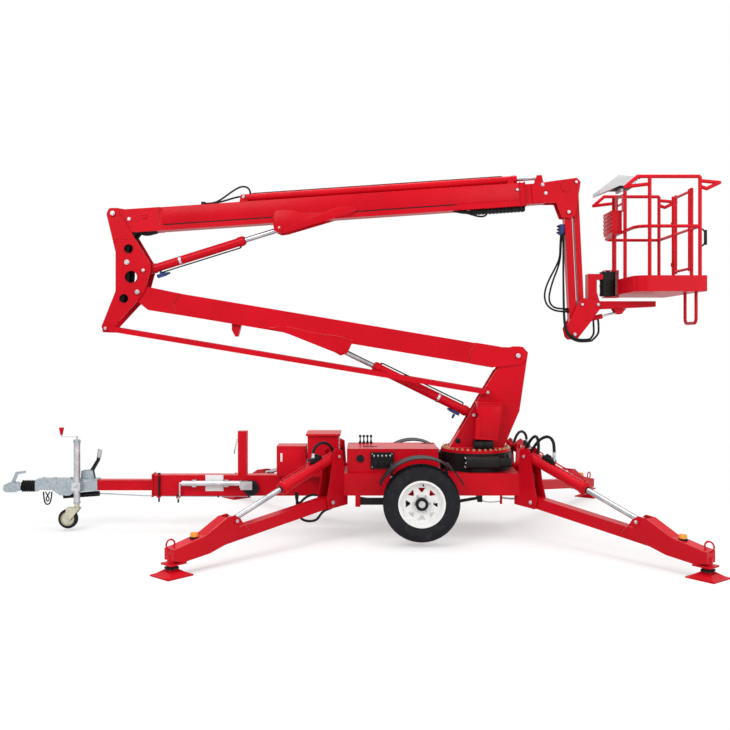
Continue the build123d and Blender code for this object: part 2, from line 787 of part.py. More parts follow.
# Slewing ring with its worm drive
with BuildPart() as slew:
    with Locations((slew_x, 0, chassis_top)):
        Cylinder(ring_radius, ring_height, align=(Align.CENTER, Align.CENTER, Align.MIN))
        Cylinder(ring_radius - 130, ring_height, align=(Align.CENTER, Align.CENTER, Align.MIN), mode=Mode.SUBTRACT)
    worm = Plane(origin=(slew_x - 130, -ring_radius - 6, chassis_top + 96), x_dir=(0, 1, 0), z_dir=(1, 0, 0))
    extrude(disc(worm, (0, 0), 60), amount=300)
    extrude(disc(worm.offset(300), (0, 0), 46), amount=120)
save("slew_ring", slew)

# Turret: round base, two side plates, webs and a side cover
turret_outline = [
    (slew_x - 262, turret_base),
    (slew_x + 28, 1282),
    (slew_x + 189, 1549),
    (boom_a[0] - 90, boom_a[1] + 40),
    (boom_a[0] - 30, boom_a[1] + 90),
    (boom_a[0] + 50, boom_a[1] + 85),
    (boom_a[0] + 100, boom_a[1] + 30),
    (slew_x + 417, 1156),
    (slew_x + 262, turret_base),
]
turret_out = turret_inner + turret_plate
boom_cheek = boom_half + cheek
link_inner = boom_cheek + side_gap + cheek + side_gap
with BuildPart() as turret:
    with Locations((slew_x, 0, ring_top)):
        Cylinder(ring_radius - 8, race_height, align=(Align.CENTER, Align.CENTER, Align.MIN))
    weld_plates(side, turret_outline, turret_inner, turret_plate)
    back = [
        (slew_x + 262, turret_base),
        (slew_x + 417, 1156),
        (boom_a[0] + 50, 1400),
        (boom_a[0] + 38, 1400),
        (slew_x + 403, 1160),
        (slew_x + 248, turret_base),
    ]
    extrude(polygon(side, back), amount=turret_inner, both=True)
    nose = [
        (slew_x - 262, turret_base),
        (slew_x - 160, turret_base + 163),
        (slew_x - 144, turret_base + 160),
        (slew_x - 246, turret_base),
    ]
    extrude(polygon(side, nose), amount=turret_inner, both=True)
    weld_pin(side, boom_a, boom_pin_radius, boom_cheek + 14)
    weld_pin(side, link_b, 20, link_inner + link_thick + 10)
    weld_pin(side, ram_k, 22, turret_out + 12)
save("turret", turret)

with BuildPart() as cover:
    cover_shape = [
        (slew_x - 31, 898),
        (slew_x + 178, 884),
        (slew_x + 245, 1240),
        (slew_x - 7, 1240),
    ]
    extrude(polygon(Plane.XZ.offset(turret_out), cover_shape), amount=cover_depth)
    bore(side, ram_k, 34, turret_out + cover_depth + 1)
save("turret_cover", cover)

# Lower boom: box tube with cheeks at both ends and the ram bracket below
low = -lower_axis_drop - lower_height / 2
with BuildPart() as lower:
    tube_plane = Plane(origin=lower_plane.from_local_coords((310, -lower_axis_drop, 0)), x_dir=(0, 1, 0),
                       z_dir=lower_plane.x_dir)
    extrude(box_ring(tube_plane, 2 * boom_half, lower_height, boom_wall), amount=lower_length - 310 - 130)
    root = [
        (-60, 60),
        (0, 92),
        (70, 70),
        (180, 54),
        (420, 54),
        (470, -50),
        (420, -152),
        (220, -152),
        (-40, -80),
        (-92, 0),
    ]
    weld_plates(lower_plane, root, boom_half, cheek)
    tip = [
        (lower_length - 400, 53),
        (lower_length + 30, 70),
        (lower_length + 74, 0),
        (lower_length + 40, -62),
        (lower_length - 120, low),
        (lower_length - 400, low),
        (lower_length - 350, -50),
    ]
    weld_plates(lower_plane, tip, boom_half, cheek)
    bracket = [
        (lower_ram_pin[0] - 95, low + 30),
        (lower_ram_pin[0] - 60, lower_ram_pin[1] - 20),
        (lower_ram_pin[0], lower_ram_pin[1] - 52),
        (lower_ram_pin[0] + 60, lower_ram_pin[1] - 30),
        (lower_ram_pin[0] + 520, low - 10),
        (lower_ram_pin[0] + 720, low + 20),
        (lower_ram_pin[0] + 600, low + 60),
        (lower_ram_pin[0] + 250, low + 40),
    ]
    weld_plates(lower_plane, bracket, boom_half, 10)
    weld_discs(lower_plane, lower_ram_pin, 34, boom_half + 10, 10)
    bore(lower_plane, (0, 0), boom_pin_radius + pin_gap, 200)
    bore(lower_plane, (lower_length, 0), boom_pin_radius + pin_gap, 200)
    with Locations(Plane(origin=lower_plane.from_local_coords((lower_ram_pin[0] - ram_slot / 4, low, 0)),
                         x_dir=lower_plane.x_dir, z_dir=(0, 1, 0))):
        Box(ram_slot, 40, 2 * boom_half - 2 * boom_wall, mode=Mode.SUBTRACT)
    rest = [
        (2700, low),
        (2790, low),
        (2780, low - 60),
        (2735, low - 118),
        (2710, low - 112),
    ]
    extrude(polygon(lower_plane, rest), amount=40, both=True)
save("lower_boom", lower)

with BuildPart() as link:
    for hand in (1, -1):
        mid = -hand * (link_inner + link_thick / 2)
        run = Vector(tip_b[0] - link_b[0], 0, tip_b[1] - link_b[1])
        bar = Plane(origin=(link_b[0], -mid, link_b[1]), x_dir=(0, 1, 0), z_dir=run)
        with BuildSketch(bar) as face:
            Rectangle(link_thick, link_depth)
        extrude(face.sketch, amount=run.length)
        for end in (link_b, tip_b):
            extrude(disc(Plane.XZ.offset(mid), end, link_depth / 2 + 8), amount=link_thick / 2, both=True)
    for end in (link_b, tip_b):
        bore(side, end, 20 + pin_gap, 300)
save("level_link", link)

# Knuckle: twin plates between the booms, outline measured from the lower boom's pin
# outline columns: dx, dz
knuckle_points = [
    (knuckle_set - 62, knuckle_rise - 6),
    (knuckle_set - 40, knuckle_rise + 46),
    (knuckle_set + 30, knuckle_rise + 50),
    (knuckle_set + 58, knuckle_rise + 18),
    (124, 268),
    (130, 226),
    (70, 12),
    (0, -90),
    (link_offset[0] + 75, link_offset[1] + 20),
    (link_offset[0] + 30, link_offset[1] - 40),
    (link_offset[0] - 35, link_offset[1] - 38),
    (link_offset[0] - 48, link_offset[1] + 20),
    (-212, 8),
    (-212, 384),
]
knuckle_outline = [plus(tip_a, p) for p in knuckle_points]
knuckle_inner = boom_cheek + side_gap
with BuildPart() as knuckle:
    weld_plates(side, knuckle_outline, knuckle_inner, cheek)
    for dx, dz, radius in ((-86, 417, 46), (-62, 145, 61), (-132, -64, 46)):
        bore(side, plus(tip_a, (dx, dz)), radius, 200)
    web = [plus(tip_a, p) for p in ((-212, 8), (-212, 384), (-200, 384), (-200, 8))]
    extrude(polygon(side, web), amount=knuckle_inner, both=True)
    weld_pin(side, tip_a, boom_pin_radius, knuckle_inner + cheek + 12)
    weld_pin(side, root_c, boom_pin_radius, knuckle_inner + cheek + 12)
    weld_pin(side, ram_q, 22, knuckle_inner + cheek + 10)
    weld_pin(side, tip_b, 20, link_inner + link_thick + 10)
save("knuckle", knuckle)

# Lower boom ram
pin_p = lower_plane.from_local_coords((lower_ram_pin[0], lower_ram_pin[1], 0))
lower_pin = (pin_p.X, pin_p.Z)
with BuildPart() as lower_barrel:
    ram_barrel(ram_k, lower_pin, lower_barrel_radius, lower_barrel_length, lower_rod_radius, 22, turret_inner - side_gap)
save("lower_barrel", lower_barrel)
with BuildPart() as lower_rod:
    ram_rod(ram_k, lower_pin, lower_rod_radius, lower_rod_length, 36, 36, boom_half - 6)
save("lower_rod", lower_rod)

# Upper boom: box tube, root cheeks, ram bracket and the extension ram's seats
upper_low = -upper_axis_drop - upper_height / 2
upper_high = -upper_axis_drop + upper_height / 2
with BuildPart() as upper:
    start = Plane(origin=upper_plane.from_local_coords((230, -upper_axis_drop, 0)), x_dir=(0, 1, 0),
                  z_dir=upper_plane.x_dir)
    extrude(box_ring(start, 2 * boom_half, upper_height, boom_wall), amount=upper_end - 230)
    root = [
        (-60, 10),
        (-30, 56),
        (40, 52),
        (120, upper_high),
        (450, upper_high),
        (420, -upper_axis_drop),
        (450, upper_low),
        (160, upper_low),
        (90, -120),
        (-40, -48),
    ]
    weld_plates(upper_plane, root, boom_half, cheek)
    bracket = [
        (upper_ram_pin[0] - 62, upper_low + 60),
        (upper_ram_pin[0] - 52, upper_ram_pin[1] - 20),
        (upper_ram_pin[0], upper_ram_pin[1] - 48),
        (upper_ram_pin[0] + 60, upper_ram_pin[1] - 30),
        (upper_ram_pin[0] + 500, upper_low - 4),
        (upper_ram_pin[0] + 720, upper_low + 24),
        (upper_ram_pin[0] + 560, upper_low + 60),
    ]
    weld_plates(upper_plane, bracket, boom_half, 10)
    weld_discs(upper_plane, upper_ram_pin, 34, boom_half + 10, 10)
    bore(upper_plane, (0, 0), boom_pin_radius + pin_gap, 200)
    seat = [
        (1215, upper_high),
        (1300, upper_high),
        (1285, upper_high + extend_rise + 30),
        (1235, upper_high + extend_rise + 30),
    ]
    extrude(polygon(upper_plane, seat), amount=30, both=True)
    prop = [
        (3830, upper_high),
        (3900, upper_high),
        (3890, upper_high + extend_rise),
        (3840, upper_high + extend_rise),
    ]
    extrude(polygon(upper_plane, prop), amount=44, both=True)
    ram_line = Plane(origin=upper_plane.from_local_coords((1280, upper_high + extend_rise, 0)), x_dir=(0, 1, 0),
                     z_dir=upper_plane.x_dir)
    extrude(disc(ram_line, (0, 0), extend_radius), amount=3930 - 1280, mode=Mode.SUBTRACT)
save("upper_boom", upper)

with BuildPart() as extend_barrel:
    extrude(disc(ram_line, (0, 0), extend_radius), amount=3930 - 1280)
    extrude(disc(ram_line.offset(40), (0, 0), extend_rod_radius + rod_gap), amount=3000, mode=Mode.SUBTRACT)
save("extend_barrel", extend_barrel)

tray_top = upper_low
with BuildPart() as tray:
    chain = [(3460, tray_top), (3990, tray_top), (3990, tray_top - 46), (3480, tray_top - 46)]
    extrude(polygon(upper_plane, chain), amount=38, both=True)
save("hose_tray", tray)

# Upper boom ram
pin_p = upper_plane.from_local_coords((upper_ram_pin[0], upper_ram_pin[1], 0))
upper_pin = (pin_p.X, pin_p.Z)
with BuildPart() as upper_barrel:
    ram_barrel(ram_q, upper_pin, upper_barrel_radius, upper_barrel_length, upper_rod_radius, 22, 60)
save("upper_barrel", upper_barrel)
with BuildPart() as upper_rod:
    ram_rod(ram_q, upper_pin, upper_rod_radius, upper_rod_length, 36, 36, boom_half - 6)
save("upper_rod", upper_rod)

# Telescopic section with the jib head and the extension rod
with BuildPart() as inner:
    start = Plane(origin=upper_plane.from_local_coords((inner_start, -upper_axis_drop, 0)), x_dir=(0, 1, 0),
                  z_dir=upper_plane.x_dir)
    extrude(box_ring(start, 2 * inner_half, inner_height, inner_wall), amount=inner_end - inner_start)
    pad = Plane(origin=upper_plane.from_local_coords((inner_start, -upper_axis_drop, 0)), x_dir=(0, 1, 0),
                z_dir=upper_plane.x_dir)
    with BuildSketch(pad) as ring:
        Rectangle(2 * (boom_half - boom_wall) - 1, upper_height - 2 * boom_wall - 1)
        Rectangle(2 * inner_half - 4, inner_height - 4, mode=Mode.SUBTRACT)
    extrude(ring.sketch, amount=60)
    link_top = plus(jib_pin, bearing(jib_offset[0], jib_offset[1], -upper_angle))
    head = [
        (4060, 12),
        (4300, 30),
        (link_top[0] + 10, link_top[1] + 42),
        (link_top[0] + 44, link_top[1]),
        (jib_pin[0] + 62, jib_pin[1] - 40),
        (jib_pin[0] + 10, jib_pin[1] - 62),
        (jib_pin[0] - 66, jib_pin[1] - 44),
        (4290, -185),
        (4060, -170),
    ]
    weld_plates(upper_plane, head, inner_half, head_plate)
    weld_pin(upper_plane, jib_pin, 22, inner_half + head_plate + 10)
    weld_pin(upper_plane, link_top, 18, inner_half + head_plate + 10)
    weld_discs(upper_plane, (4385, -40), 44, inner_half + head_plate, 8)
    lug = [
        (4090, 5),
        (4190, 5),
        (4175, upper_high + extend_rise + 24),
        (4125, upper_high + extend_rise + 24),
    ]
    extrude(polygon(upper_plane, lug), amount=24, both=True)
    extrude(disc(Plane(origin=upper_plane.from_local_coords((1900, upper_high + extend_rise, 0)), x_dir=(0, 1, 0),
                       z_dir=upper_plane.x_dir), (0, 0), extend_rod_radius), amount=4150 - 1900)
save("telescope_boom", inner)

# Jib: main arm and its levelling link, hung from the head
with BuildPart() as arm:
    start = Plane(origin=jib_plane.origin, x_dir=(0, 1, 0), z_dir=jib_plane.x_dir)
    extrude(box_ring(start.offset(20), 2 * jib_half, jib_depth, 5), amount=jib_length - 40)
    for s in (0, jib_length):
        extrude(disc(jib_plane, (s, 0), 36), amount=jib_half, both=True)
        bore(jib_plane, (s, 0), 22 + pin_gap, 200)
save("jib_arm", arm)

with BuildPart() as jib_link:
    origin = Vector(jib_b[0], 0, jib_b[1])
    bar = Plane(origin=origin, x_dir=(0, 1, 0), z_dir=jib_plane.x_dir)
    flat = Plane(origin=origin, x_dir=jib_plane.x_dir, z_dir=(0, -1, 0))
    extrude(box_ring(bar.offset(20), 2 * jib_link_half, jib_link_depth, 5), amount=jib_length - 40)
    for s in (0, jib_length):
        extrude(disc(flat, (s, 0), 30), amount=jib_link_half, both=True)
        bore(flat, (s, 0), 18 + pin_gap, 200)
save("jib_link", jib_link)

foot_inner = inner_half
with BuildPart() as jib_end:
    points = [
        (-84, 60),
        (-66, -20),
        (-40, -50),
        (22, -50),
        (52, -14),
        (level_ram_foot[0] + 30, level_ram_foot[1] - 24),
        (level_pin[0] + 40, level_pin[1] - 14),
        (level_pin[0] + 14, level_pin[1] + 40),
        (jib_offset[0] - 10, jib_offset[1] + 66),
    ]
    weld_plates(side, [plus(foot_a, p) for p in points], foot_inner, head_plate)
    weld_pin(side, foot_a, 22, foot_inner + head_plate + 10)
    weld_pin(side, foot_b, 18, foot_inner + head_plate + 10)
    weld_pin(side, level_v, 20, foot_inner + head_plate + 10)
    weld_pin(side, level_k, 10, foot_inner + head_plate + 8)
save("jib_foot", jib_end)

# Levelling ram under the platform carrier
with BuildPart() as level_barrel:
    ram_barrel(level_k, level_l, 24, level_barrel_length, 11, 10, 30)
save("level_barrel", level_barrel)
with BuildPart() as level_rod:
    ram_rod(level_k, level_l, 11, level_rod_length, 17, 17, 30)
save("level_rod", level_rod)

# Carrier, rotator and platform
rotor_x = level_v[0] + rotor_ahead
rotor_z = level_v[1] + rotor_base
floor_z = level_v[1] + platform_floor
basket_x = level_v[0] + platform_ahead
carrier_half = 58
carrier_reach = 566
with BuildPart() as carrier:
    beam = [
        (level_v[0] - 30, level_v[1] - 30),
        (level_v[0] + 20, level_v[1] - 44),
        (level_v[0] + carrier_reach, level_v[1] - 20),
        (level_v[0] + carrier_reach, level_v[1] + 34),
        (level_v[0] + 20, level_v[1] + 34),
        (level_v[0] - 6, rotor_z + 40),
        (level_v[0] - 6, rotor_z + rotor_height - 20),
        (level_v[0] - 92, rotor_z + rotor_height - 20),
        (level_v[0] - 92, level_v[1] + 60),
        (level_v[0] - 34, level_v[1] + 20),
    ]
    extrude(polygon(side, beam), amount=carrier_half, both=True)
    bore(side, level_v, 20 + pin_gap, 200)
    tongue = [
        (level_l[0] - 60, level_v[1] - 36),
        (level_l[0] + 70, level_v[1] - 36),
        (level_l[0] + 22, level_l[1] - 22),
        (level_l[0] - 22, level_l[1] - 22),
    ]
    weld_plates(side, tongue, 34, 8)
    room = [
        (level_v[0] + 130, level_v[1] - 26),
        (level_v[0] + carrier_reach - 12, level_v[1] - 10),
        (level_v[0] + carrier_reach - 12, level_v[1] + 24),
        (level_v[0] + 130, level_v[1] + 24),
    ]
    extrude(polygon(side, room), amount=carrier_half + 5, both=True, mode=Mode.SUBTRACT)
    weld_plates(side, room, carrier_half - 8, 8)
    block((level_v[0] - 10, rotor_x), (-50, 50), (rotor_z + 160, rotor_z + rotor_height - 20))
    with Locations((rotor_x, 0, rotor_z)):
        Cylinder(rotor_radius, rotor_height, align=(Align.CENTER, Align.CENTER, Align.MIN), mode=Mode.SUBTRACT)
save("platform_carrier", carrier)

with BuildPart() as rotor:
    with Locations((rotor_x, 0, rotor_z)):
        Cylinder(rotor_radius, rotor_height, align=(Align.CENTER, Align.CENTER, Align.MIN))
        Cylinder(22 + pin_gap, rotor_height, align=(Align.CENTER, Align.CENTER, Align.MIN), mode=Mode.SUBTRACT)
save("platform_rotator", rotor)

corner = 118
sill_rise = 3
sill_margin = 4
right = basket_x + platform_length - rail_inset


def basket_outline(plane, inset):
    x0 = basket_x + inset
    x1 = basket_x + platform_length - inset
    y = platform_half - inset
    with BuildSketch(plane) as face:
        with Locations(((x0 + x1) / 2, 0)):
            Rectangle(x1 - x0, 2 * y)
        fillet(face.vertices().group_by(Axis.X)[0], corner - inset)
    return face.sketch


with BuildPart() as tray_pan:
    extrude(basket_outline(Plane.XY.offset(floor_z), 0), amount=toe_height)
    extrude(basket_outline(Plane.XY.offset(floor_z + sheet), sheet), amount=toe_height, mode=Mode.SUBTRACT)
    for z in (rotor_z - 6 - 10, rotor_z + rotor_height + 6):
        block((rotor_x - 40, basket_x + 3), (-60, 60), (z, z + 10))
    block((basket_x - 10, basket_x + 1), (-60, 60), (rotor_z - 16, rotor_z + rotor_height + 16))
    for z in (rotor_z - 6, rotor_z + rotor_height - 26):
        with Locations((rotor_x, 0, z)):
            Cylinder(22, 32, align=(Align.CENTER, Align.CENTER, Align.MIN))
    sill = (right - rail_radius - sill_margin, basket_x + platform_length - sheet / 2)
    block(sill, (-platform_half + sheet / 2, platform_half - sheet / 2), (floor_z, floor_z + sheet + sill_rise))
    with BuildLine() as hoop:
        FilletPolyline((right, -472, floor_z), (right, -472, floor_z - 288), (right, -189, floor_z - 288),
                       (right, -189, floor_z), radius=48)
    with BuildSketch(Plane(origin=(right, -472, floor_z), x_dir=(1, 0, 0), z_dir=(0, 0, -1))) as rung:
        Circle(15)
    sweep(rung.sketch, path=hoop.line)
save("platform_floor", tray_pan)

rail_top = floor_z + rail_height
with BuildPart() as rails:
    inset = platform_half - rail_radius - sheet
    tip_x = basket_x + platform_length + guard_tip
    left = basket_x + rail_radius + sheet
    bend = corner - rail_radius
    for z in (floor_z + mid_rail, rail_top - guard_drop):
        loop = [
            (right, hinge_y, z),
            (right, inset, z),
            (left + bend, inset, z),
            (left + bend * 0.3, inset - bend * 0.3, z),
            (left, inset - bend, z),
            (left, -inset + bend, z),
            (left + bend * 0.3, -inset + bend * 0.3, z),
            (left + bend, -inset, z),
            (right, -inset, z),
            (right, latch_y, z),
        ]
        tube(loop, loop_radius)
    for hand in (1, -1):
        y = hand * inset
        tube([(right, y, rail_top - guard_drop - 20), (right + 60, y, rail_top - guard_drop - 42),
              (tip_x, y, rail_top - guard_drop + 14), (right, y, rail_top - guard_drop + 30)], rail_radius)
        tube([(right, y, rail_top), (left + 5, y, rail_top), (left - 106, y, rail_top - 95),
              (left + bend, y, rail_top - guard_drop)], rail_radius)
        for x in (basket_x + side_post, right):
            tube([(x, y, floor_z - 20 + toe_height), (x, y, rail_top)], rail_radius)
        tube([(left, hand * 195, floor_z + 30), (left, hand * 195, rail_top - guard_drop)], rail_radius)
    for y in (hinge_y, latch_y):
        tube([(right, y, floor_z + sheet + sill_rise), (right, y, rail_top - guard_drop)], rail_radius)
save("platform_rails", rails)

with BuildPart() as gate:
    gate_reach = (hinge_y - 71, latch_y + 55)
    low_z = floor_z + toe_height + 60
    high_z = rail_top - guard_drop
    for y in gate_reach:
        tube([(right, y, low_z), (right, y, high_z)], rail_radius - 3)
    for z in (low_z + 24, floor_z + mid_rail, high_z - 24):
        tube([(right, gate_reach[0], z), (right, gate_reach[1], z)], rail_radius - 4)
    for z in (low_z + 80, floor_z + mid_rail + 90):
        block((right - 6, right + 6), (gate_reach[0], hinge_y), (z, z + 36))
        with Locations((right, hinge_y, z)):
            Cylinder(rail_radius + 8, 36, align=(Align.CENTER, Align.CENTER, Align.MIN))
            Cylinder(rail_radius + pin_gap, 36, align=(Align.CENTER, Align.CENTER, Align.MIN), mode=Mode.SUBTRACT)
save("platform_gate", gate)

with BuildPart() as console:
    shape = [
        (left - 226, rail_top - 86),
        (left - 30, rail_top - 6),
        (left + 120, rail_top - 6),
        (left + 120, rail_top + 80),
        (left - 40, rail_top + 96),
        (left - 226, rail_top - 50),
    ]
    extrude(polygon(side, shape), amount=130, both=True)
    block((left - 12, left + 12), (-90, 90), (rail_top - guard_drop + rail_radius, rail_top))
save("platform_console", console)

with BuildPart() as tool_box:
    block((basket_x - 90, left - rail_radius), (-150, 150), (floor_z + mid_rail - 20, floor_z + mid_rail + 195))
save("tool_box", tool_box)
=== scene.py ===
import bpy
import bmesh
import json
import math
from mathutils import Matrix, Vector


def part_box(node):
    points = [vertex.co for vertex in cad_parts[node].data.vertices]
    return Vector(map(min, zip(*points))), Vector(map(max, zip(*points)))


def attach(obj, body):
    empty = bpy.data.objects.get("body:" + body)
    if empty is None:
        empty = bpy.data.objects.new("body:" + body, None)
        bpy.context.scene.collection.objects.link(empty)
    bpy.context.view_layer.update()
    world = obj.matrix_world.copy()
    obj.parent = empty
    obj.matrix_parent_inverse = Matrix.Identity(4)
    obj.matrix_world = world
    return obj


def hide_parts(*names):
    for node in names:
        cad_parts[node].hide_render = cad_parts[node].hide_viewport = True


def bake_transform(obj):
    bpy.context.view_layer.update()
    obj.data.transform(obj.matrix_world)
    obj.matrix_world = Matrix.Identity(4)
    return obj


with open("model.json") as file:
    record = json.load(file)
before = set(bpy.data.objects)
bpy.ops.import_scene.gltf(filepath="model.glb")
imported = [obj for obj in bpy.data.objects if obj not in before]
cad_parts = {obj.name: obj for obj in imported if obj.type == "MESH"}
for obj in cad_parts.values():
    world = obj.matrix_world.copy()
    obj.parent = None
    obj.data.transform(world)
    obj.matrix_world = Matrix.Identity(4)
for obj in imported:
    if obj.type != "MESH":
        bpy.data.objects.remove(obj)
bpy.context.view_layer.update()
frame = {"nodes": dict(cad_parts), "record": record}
record = frame["record"]
joints = {j["name"]: j for j in record["behaviour"]["joints"]}
print("frame loaded, nodes:", len(frame["nodes"]))


# one wrapped socket, so that shader maths reads as sums
class Wire:
    def __init__(self, tree, socket):
        self.tree = tree
        self.socket = socket

    def maths(self, operation, other):
        return self.add("ShaderNodeMath", {"operation": operation}, {0: self, 1: other})

    def add(self, kind, settings=None, inputs=None, output=0):
        node = self.tree.nodes.new(kind)
        for key, value in (settings or {}).items():
            setattr(node, key, value)
        for key, value in (inputs or {}).items():
            if isinstance(value, Wire):
                self.tree.links.new(value.socket, node.inputs[key])
            else:
                node.inputs[key].default_value = value
        return Wire(self.tree, node.outputs[output])

    def __add__(self, other):
        return self.maths("ADD", other)

    def __mul__(self, other):
        return self.maths("MULTIPLY", other)

    def clamp(self, low, high):
        return self.add("ShaderNodeClamp", {}, {0: self, 1: low, 2: high})

    def band(self, low, high):
        return self.add("ShaderNodeMapRange", {"interpolation_type": "SMOOTHSTEP"},
                        {0: self, 1: low, 2: high, 3: 0.0, 4: 1.0})

    def mix(self, first, second):
        return self.add("ShaderNodeMix", {"data_type": "RGBA"}, {0: self, 6: first, 7: second}, 2)


def openMaterial(name):
    mat = bpy.data.materials.new(name)
    mat.use_nodes = True
    tree = mat.node_tree
    shader = tree.nodes["Principled BSDF"]
    place = Wire(tree, tree.nodes.new("ShaderNodeTexCoord").outputs["Object"])
    return mat, shader, place


def noise(place, scale, detail=3.0, rough=0.55):
    return place.add("ShaderNodeTexNoise", {},
                     {"Vector": place, "Scale": scale, "Detail": detail, "Roughness": rough})


def feed(shader, key, wire):
    wire.tree.links.new(wire.socket, shader.inputs[key])


def bump(shader, height, strength, distance):
    node = height.add("ShaderNodeBump", {}, {"Strength": strength, "Distance": distance, "Height": height})
    feed(shader, "Normal", node)


paintSet = {"red": (0.58, 0.0030, 0.0130, 1), "redDeep": (0.50, 0.0024, 0.0105, 1),
            "chalk": (0.60, 0.020, 0.032, 1), "peel": 260.0, "rough": 0.30, "gloss": 0.11, "edge": 0.004}


def makeRedPaint():
    mat, shader, place = openMaterial("redPaint")
    cloud = noise(place, 1.7, 4.0)
    dust = noise(place, 24.0, 5.0, 0.65)
    base = cloud.band(0.35, 0.7).mix(paintSet["redDeep"], paintSet["red"])
    film = dust.band(0.58, 0.85) * 0.22
    feed(shader, "Base Color", film.mix(base, paintSet["chalk"]))
    feed(shader, "Roughness", dust * 0.14 + (paintSet["rough"] - 0.06))
    shader.inputs["Specular IOR Level"].default_value = paintSet["gloss"]
    soft = place.add("ShaderNodeBevel", {"samples": 4}, {"Radius": paintSet["edge"]})
    peel = noise(place, paintSet["peel"], 2.0)
    skin = peel.add("ShaderNodeBump", {},
                    {"Strength": 0.05, "Distance": 0.002, "Height": peel, "Normal": soft})
    feed(shader, "Normal", skin)
    return mat


def makeMetal(name, colour, dark, rough, scale, metallic=1.0):
    mat, shader, place = openMaterial(name)
    grain = noise(place, scale, 4.0, 0.6)
    patch = noise(place, scale * 0.16, 3.0)
    feed(shader, "Base Color", patch.band(0.3, 0.72).mix(dark, colour))
    feed(shader, "Roughness", grain * 0.22 + (rough - 0.1))
    shader.inputs["Metallic"].default_value = metallic
    bump(shader, grain, 0.08, 0.001)
    return mat


def makeSpangle():
    mat, shader, place = openMaterial("galvanisedSteel")
    cells = place.add("ShaderNodeTexVoronoi", {"feature": "F1"}, {"Vector": place, "Scale": 90.0}, 1)
    shade = cells.add("ShaderNodeRGBToBW", {}, {0: cells})
    streak = noise(place, 9.0, 4.0)
    base = (shade * 0.6 + streak * 0.5).band(0.2, 0.85).mix((0.27, 0.31, 0.34, 1), (0.42, 0.47, 0.50, 1))
    feed(shader, "Base Color", base)
    feed(shader, "Roughness", shade * 0.16 + 0.36)
    shader.inputs["Metallic"].default_value = 0.85
    bump(shader, streak, 0.08, 0.001)
    return mat


def makeMatt(name, colour, light, rough, scale, depth=0.12, gloss=0.5):
    mat, shader, place = openMaterial(name)
    grain = noise(place, scale, 3.0, 0.6)
    dust = noise(place, 14.0, 5.0, 0.65)
    feed(shader, "Base Color", dust.band(0.45, 0.85).mix(colour, light))
    feed(shader, "Roughness", grain * 0.2 + (rough - 0.1))
    shader.inputs["Specular IOR Level"].default_value = gloss
    bump(shader, grain, depth, 0.001)
    return mat


redPaint = makeRedPaint()
galvanisedSteel = makeSpangle()
zincSteel = makeMetal("zincSteel", (0.60, 0.61, 0.62, 1), (0.42, 0.43, 0.45, 1), 0.34, 60.0)
chromeRod = makeMetal("chromeRod", (0.50, 0.52, 0.54, 1), (0.34, 0.36, 0.39, 1), 0.20, 40.0)
blackRubber = makeMatt("blackRubber", (0.008, 0.008, 0.009, 1), (0.020, 0.020, 0.022, 1), 0.62, 320.0, 0.12,
                       0.14)
tyreRubber = makeMatt("tyreRubber", (0.011, 0.011, 0.014, 1), (0.028, 0.028, 0.033, 1), 0.70, 240.0, 0.2,
                      0.14)
blackPlastic = makeMatt("blackPlastic", (0.007, 0.007, 0.009, 1), (0.020, 0.020, 0.022, 1), 0.46, 420.0, 0.2,
                        0.14)
blackPaint = makeMatt("blackPaint", (0.0095, 0.0085, 0.0088, 1), (0.014, 0.0128, 0.013, 1), 0.38, 180.0, 0.06,
                      0.14)
whitePaint = makeMatt("whitePaint", (0.80, 0.80, 0.79, 1), (0.70, 0.70, 0.69, 1), 0.34, 200.0, 0.05)
greyPlastic = makeMatt("greyPlastic", (0.50, 0.51, 0.52, 1), (0.60, 0.60, 0.61, 1), 0.45, 380.0, 0.15)
amberLens = makeMatt("amberLens", (0.85, 0.28, 0.01, 1), (0.95, 0.42, 0.03, 1), 0.2, 120.0, 0.1)
blueAnodised = makeMetal("blueAnodised", (0.022, 0.045, 0.17, 1), (0.014, 0.028, 0.11, 1), 0.36, 60.0, 0.6)
yellowZinc = makeMetal("yellowZinc", (0.62, 0.47, 0.24, 1), (0.48, 0.36, 0.20, 1), 0.38, 60.0)
paleZinc = makeMetal("paleZinc", (0.60, 0.57, 0.42, 1), (0.44, 0.43, 0.34, 1), 0.34, 50.0)
yellowPlastic = makeMatt("yellowPlastic", (0.75, 0.50, 0.02, 1), (0.80, 0.58, 0.06, 1), 0.4, 300.0, 0.1)
weldBead = makeMatt("weldBead", (0.55, 0.011, 0.020, 1), (0.62, 0.03, 0.036, 1), 0.38, 90.0, 0.5)
slotFinish = {"red_paint": redPaint, "galvanised_steel": galvanisedSteel, "black_rubber": blackRubber,
              "tyre_rubber": tyreRubber, "white_paint": whitePaint, "black_plastic": blackPlastic,
              "black_paint": blackPaint, "chrome_rod": chromeRod, "zinc_steel": zincSteel,
              "grey_plastic": greyPlastic}
# slot that each finish belongs to; the lamp lenses have none
finishSlot = {finish: slotName for slotName, finish in slotFinish.items()}
finishSlot.update({weldBead: "red_paint", blueAnodised: "zinc_steel", yellowZinc: "zinc_steel",
                   paleZinc: "zinc_steel", yellowPlastic: "black_plastic", amberLens: None})
for part in record["subparts"]:
    node = frame["nodes"][part["node"]]
    finish = slotFinish[part["material_slot"]]
    if node.material_slots:
        node.material_slots[0].material = finish
    else:
        node.data.materials.append(finish)
print("finishes on the frame")


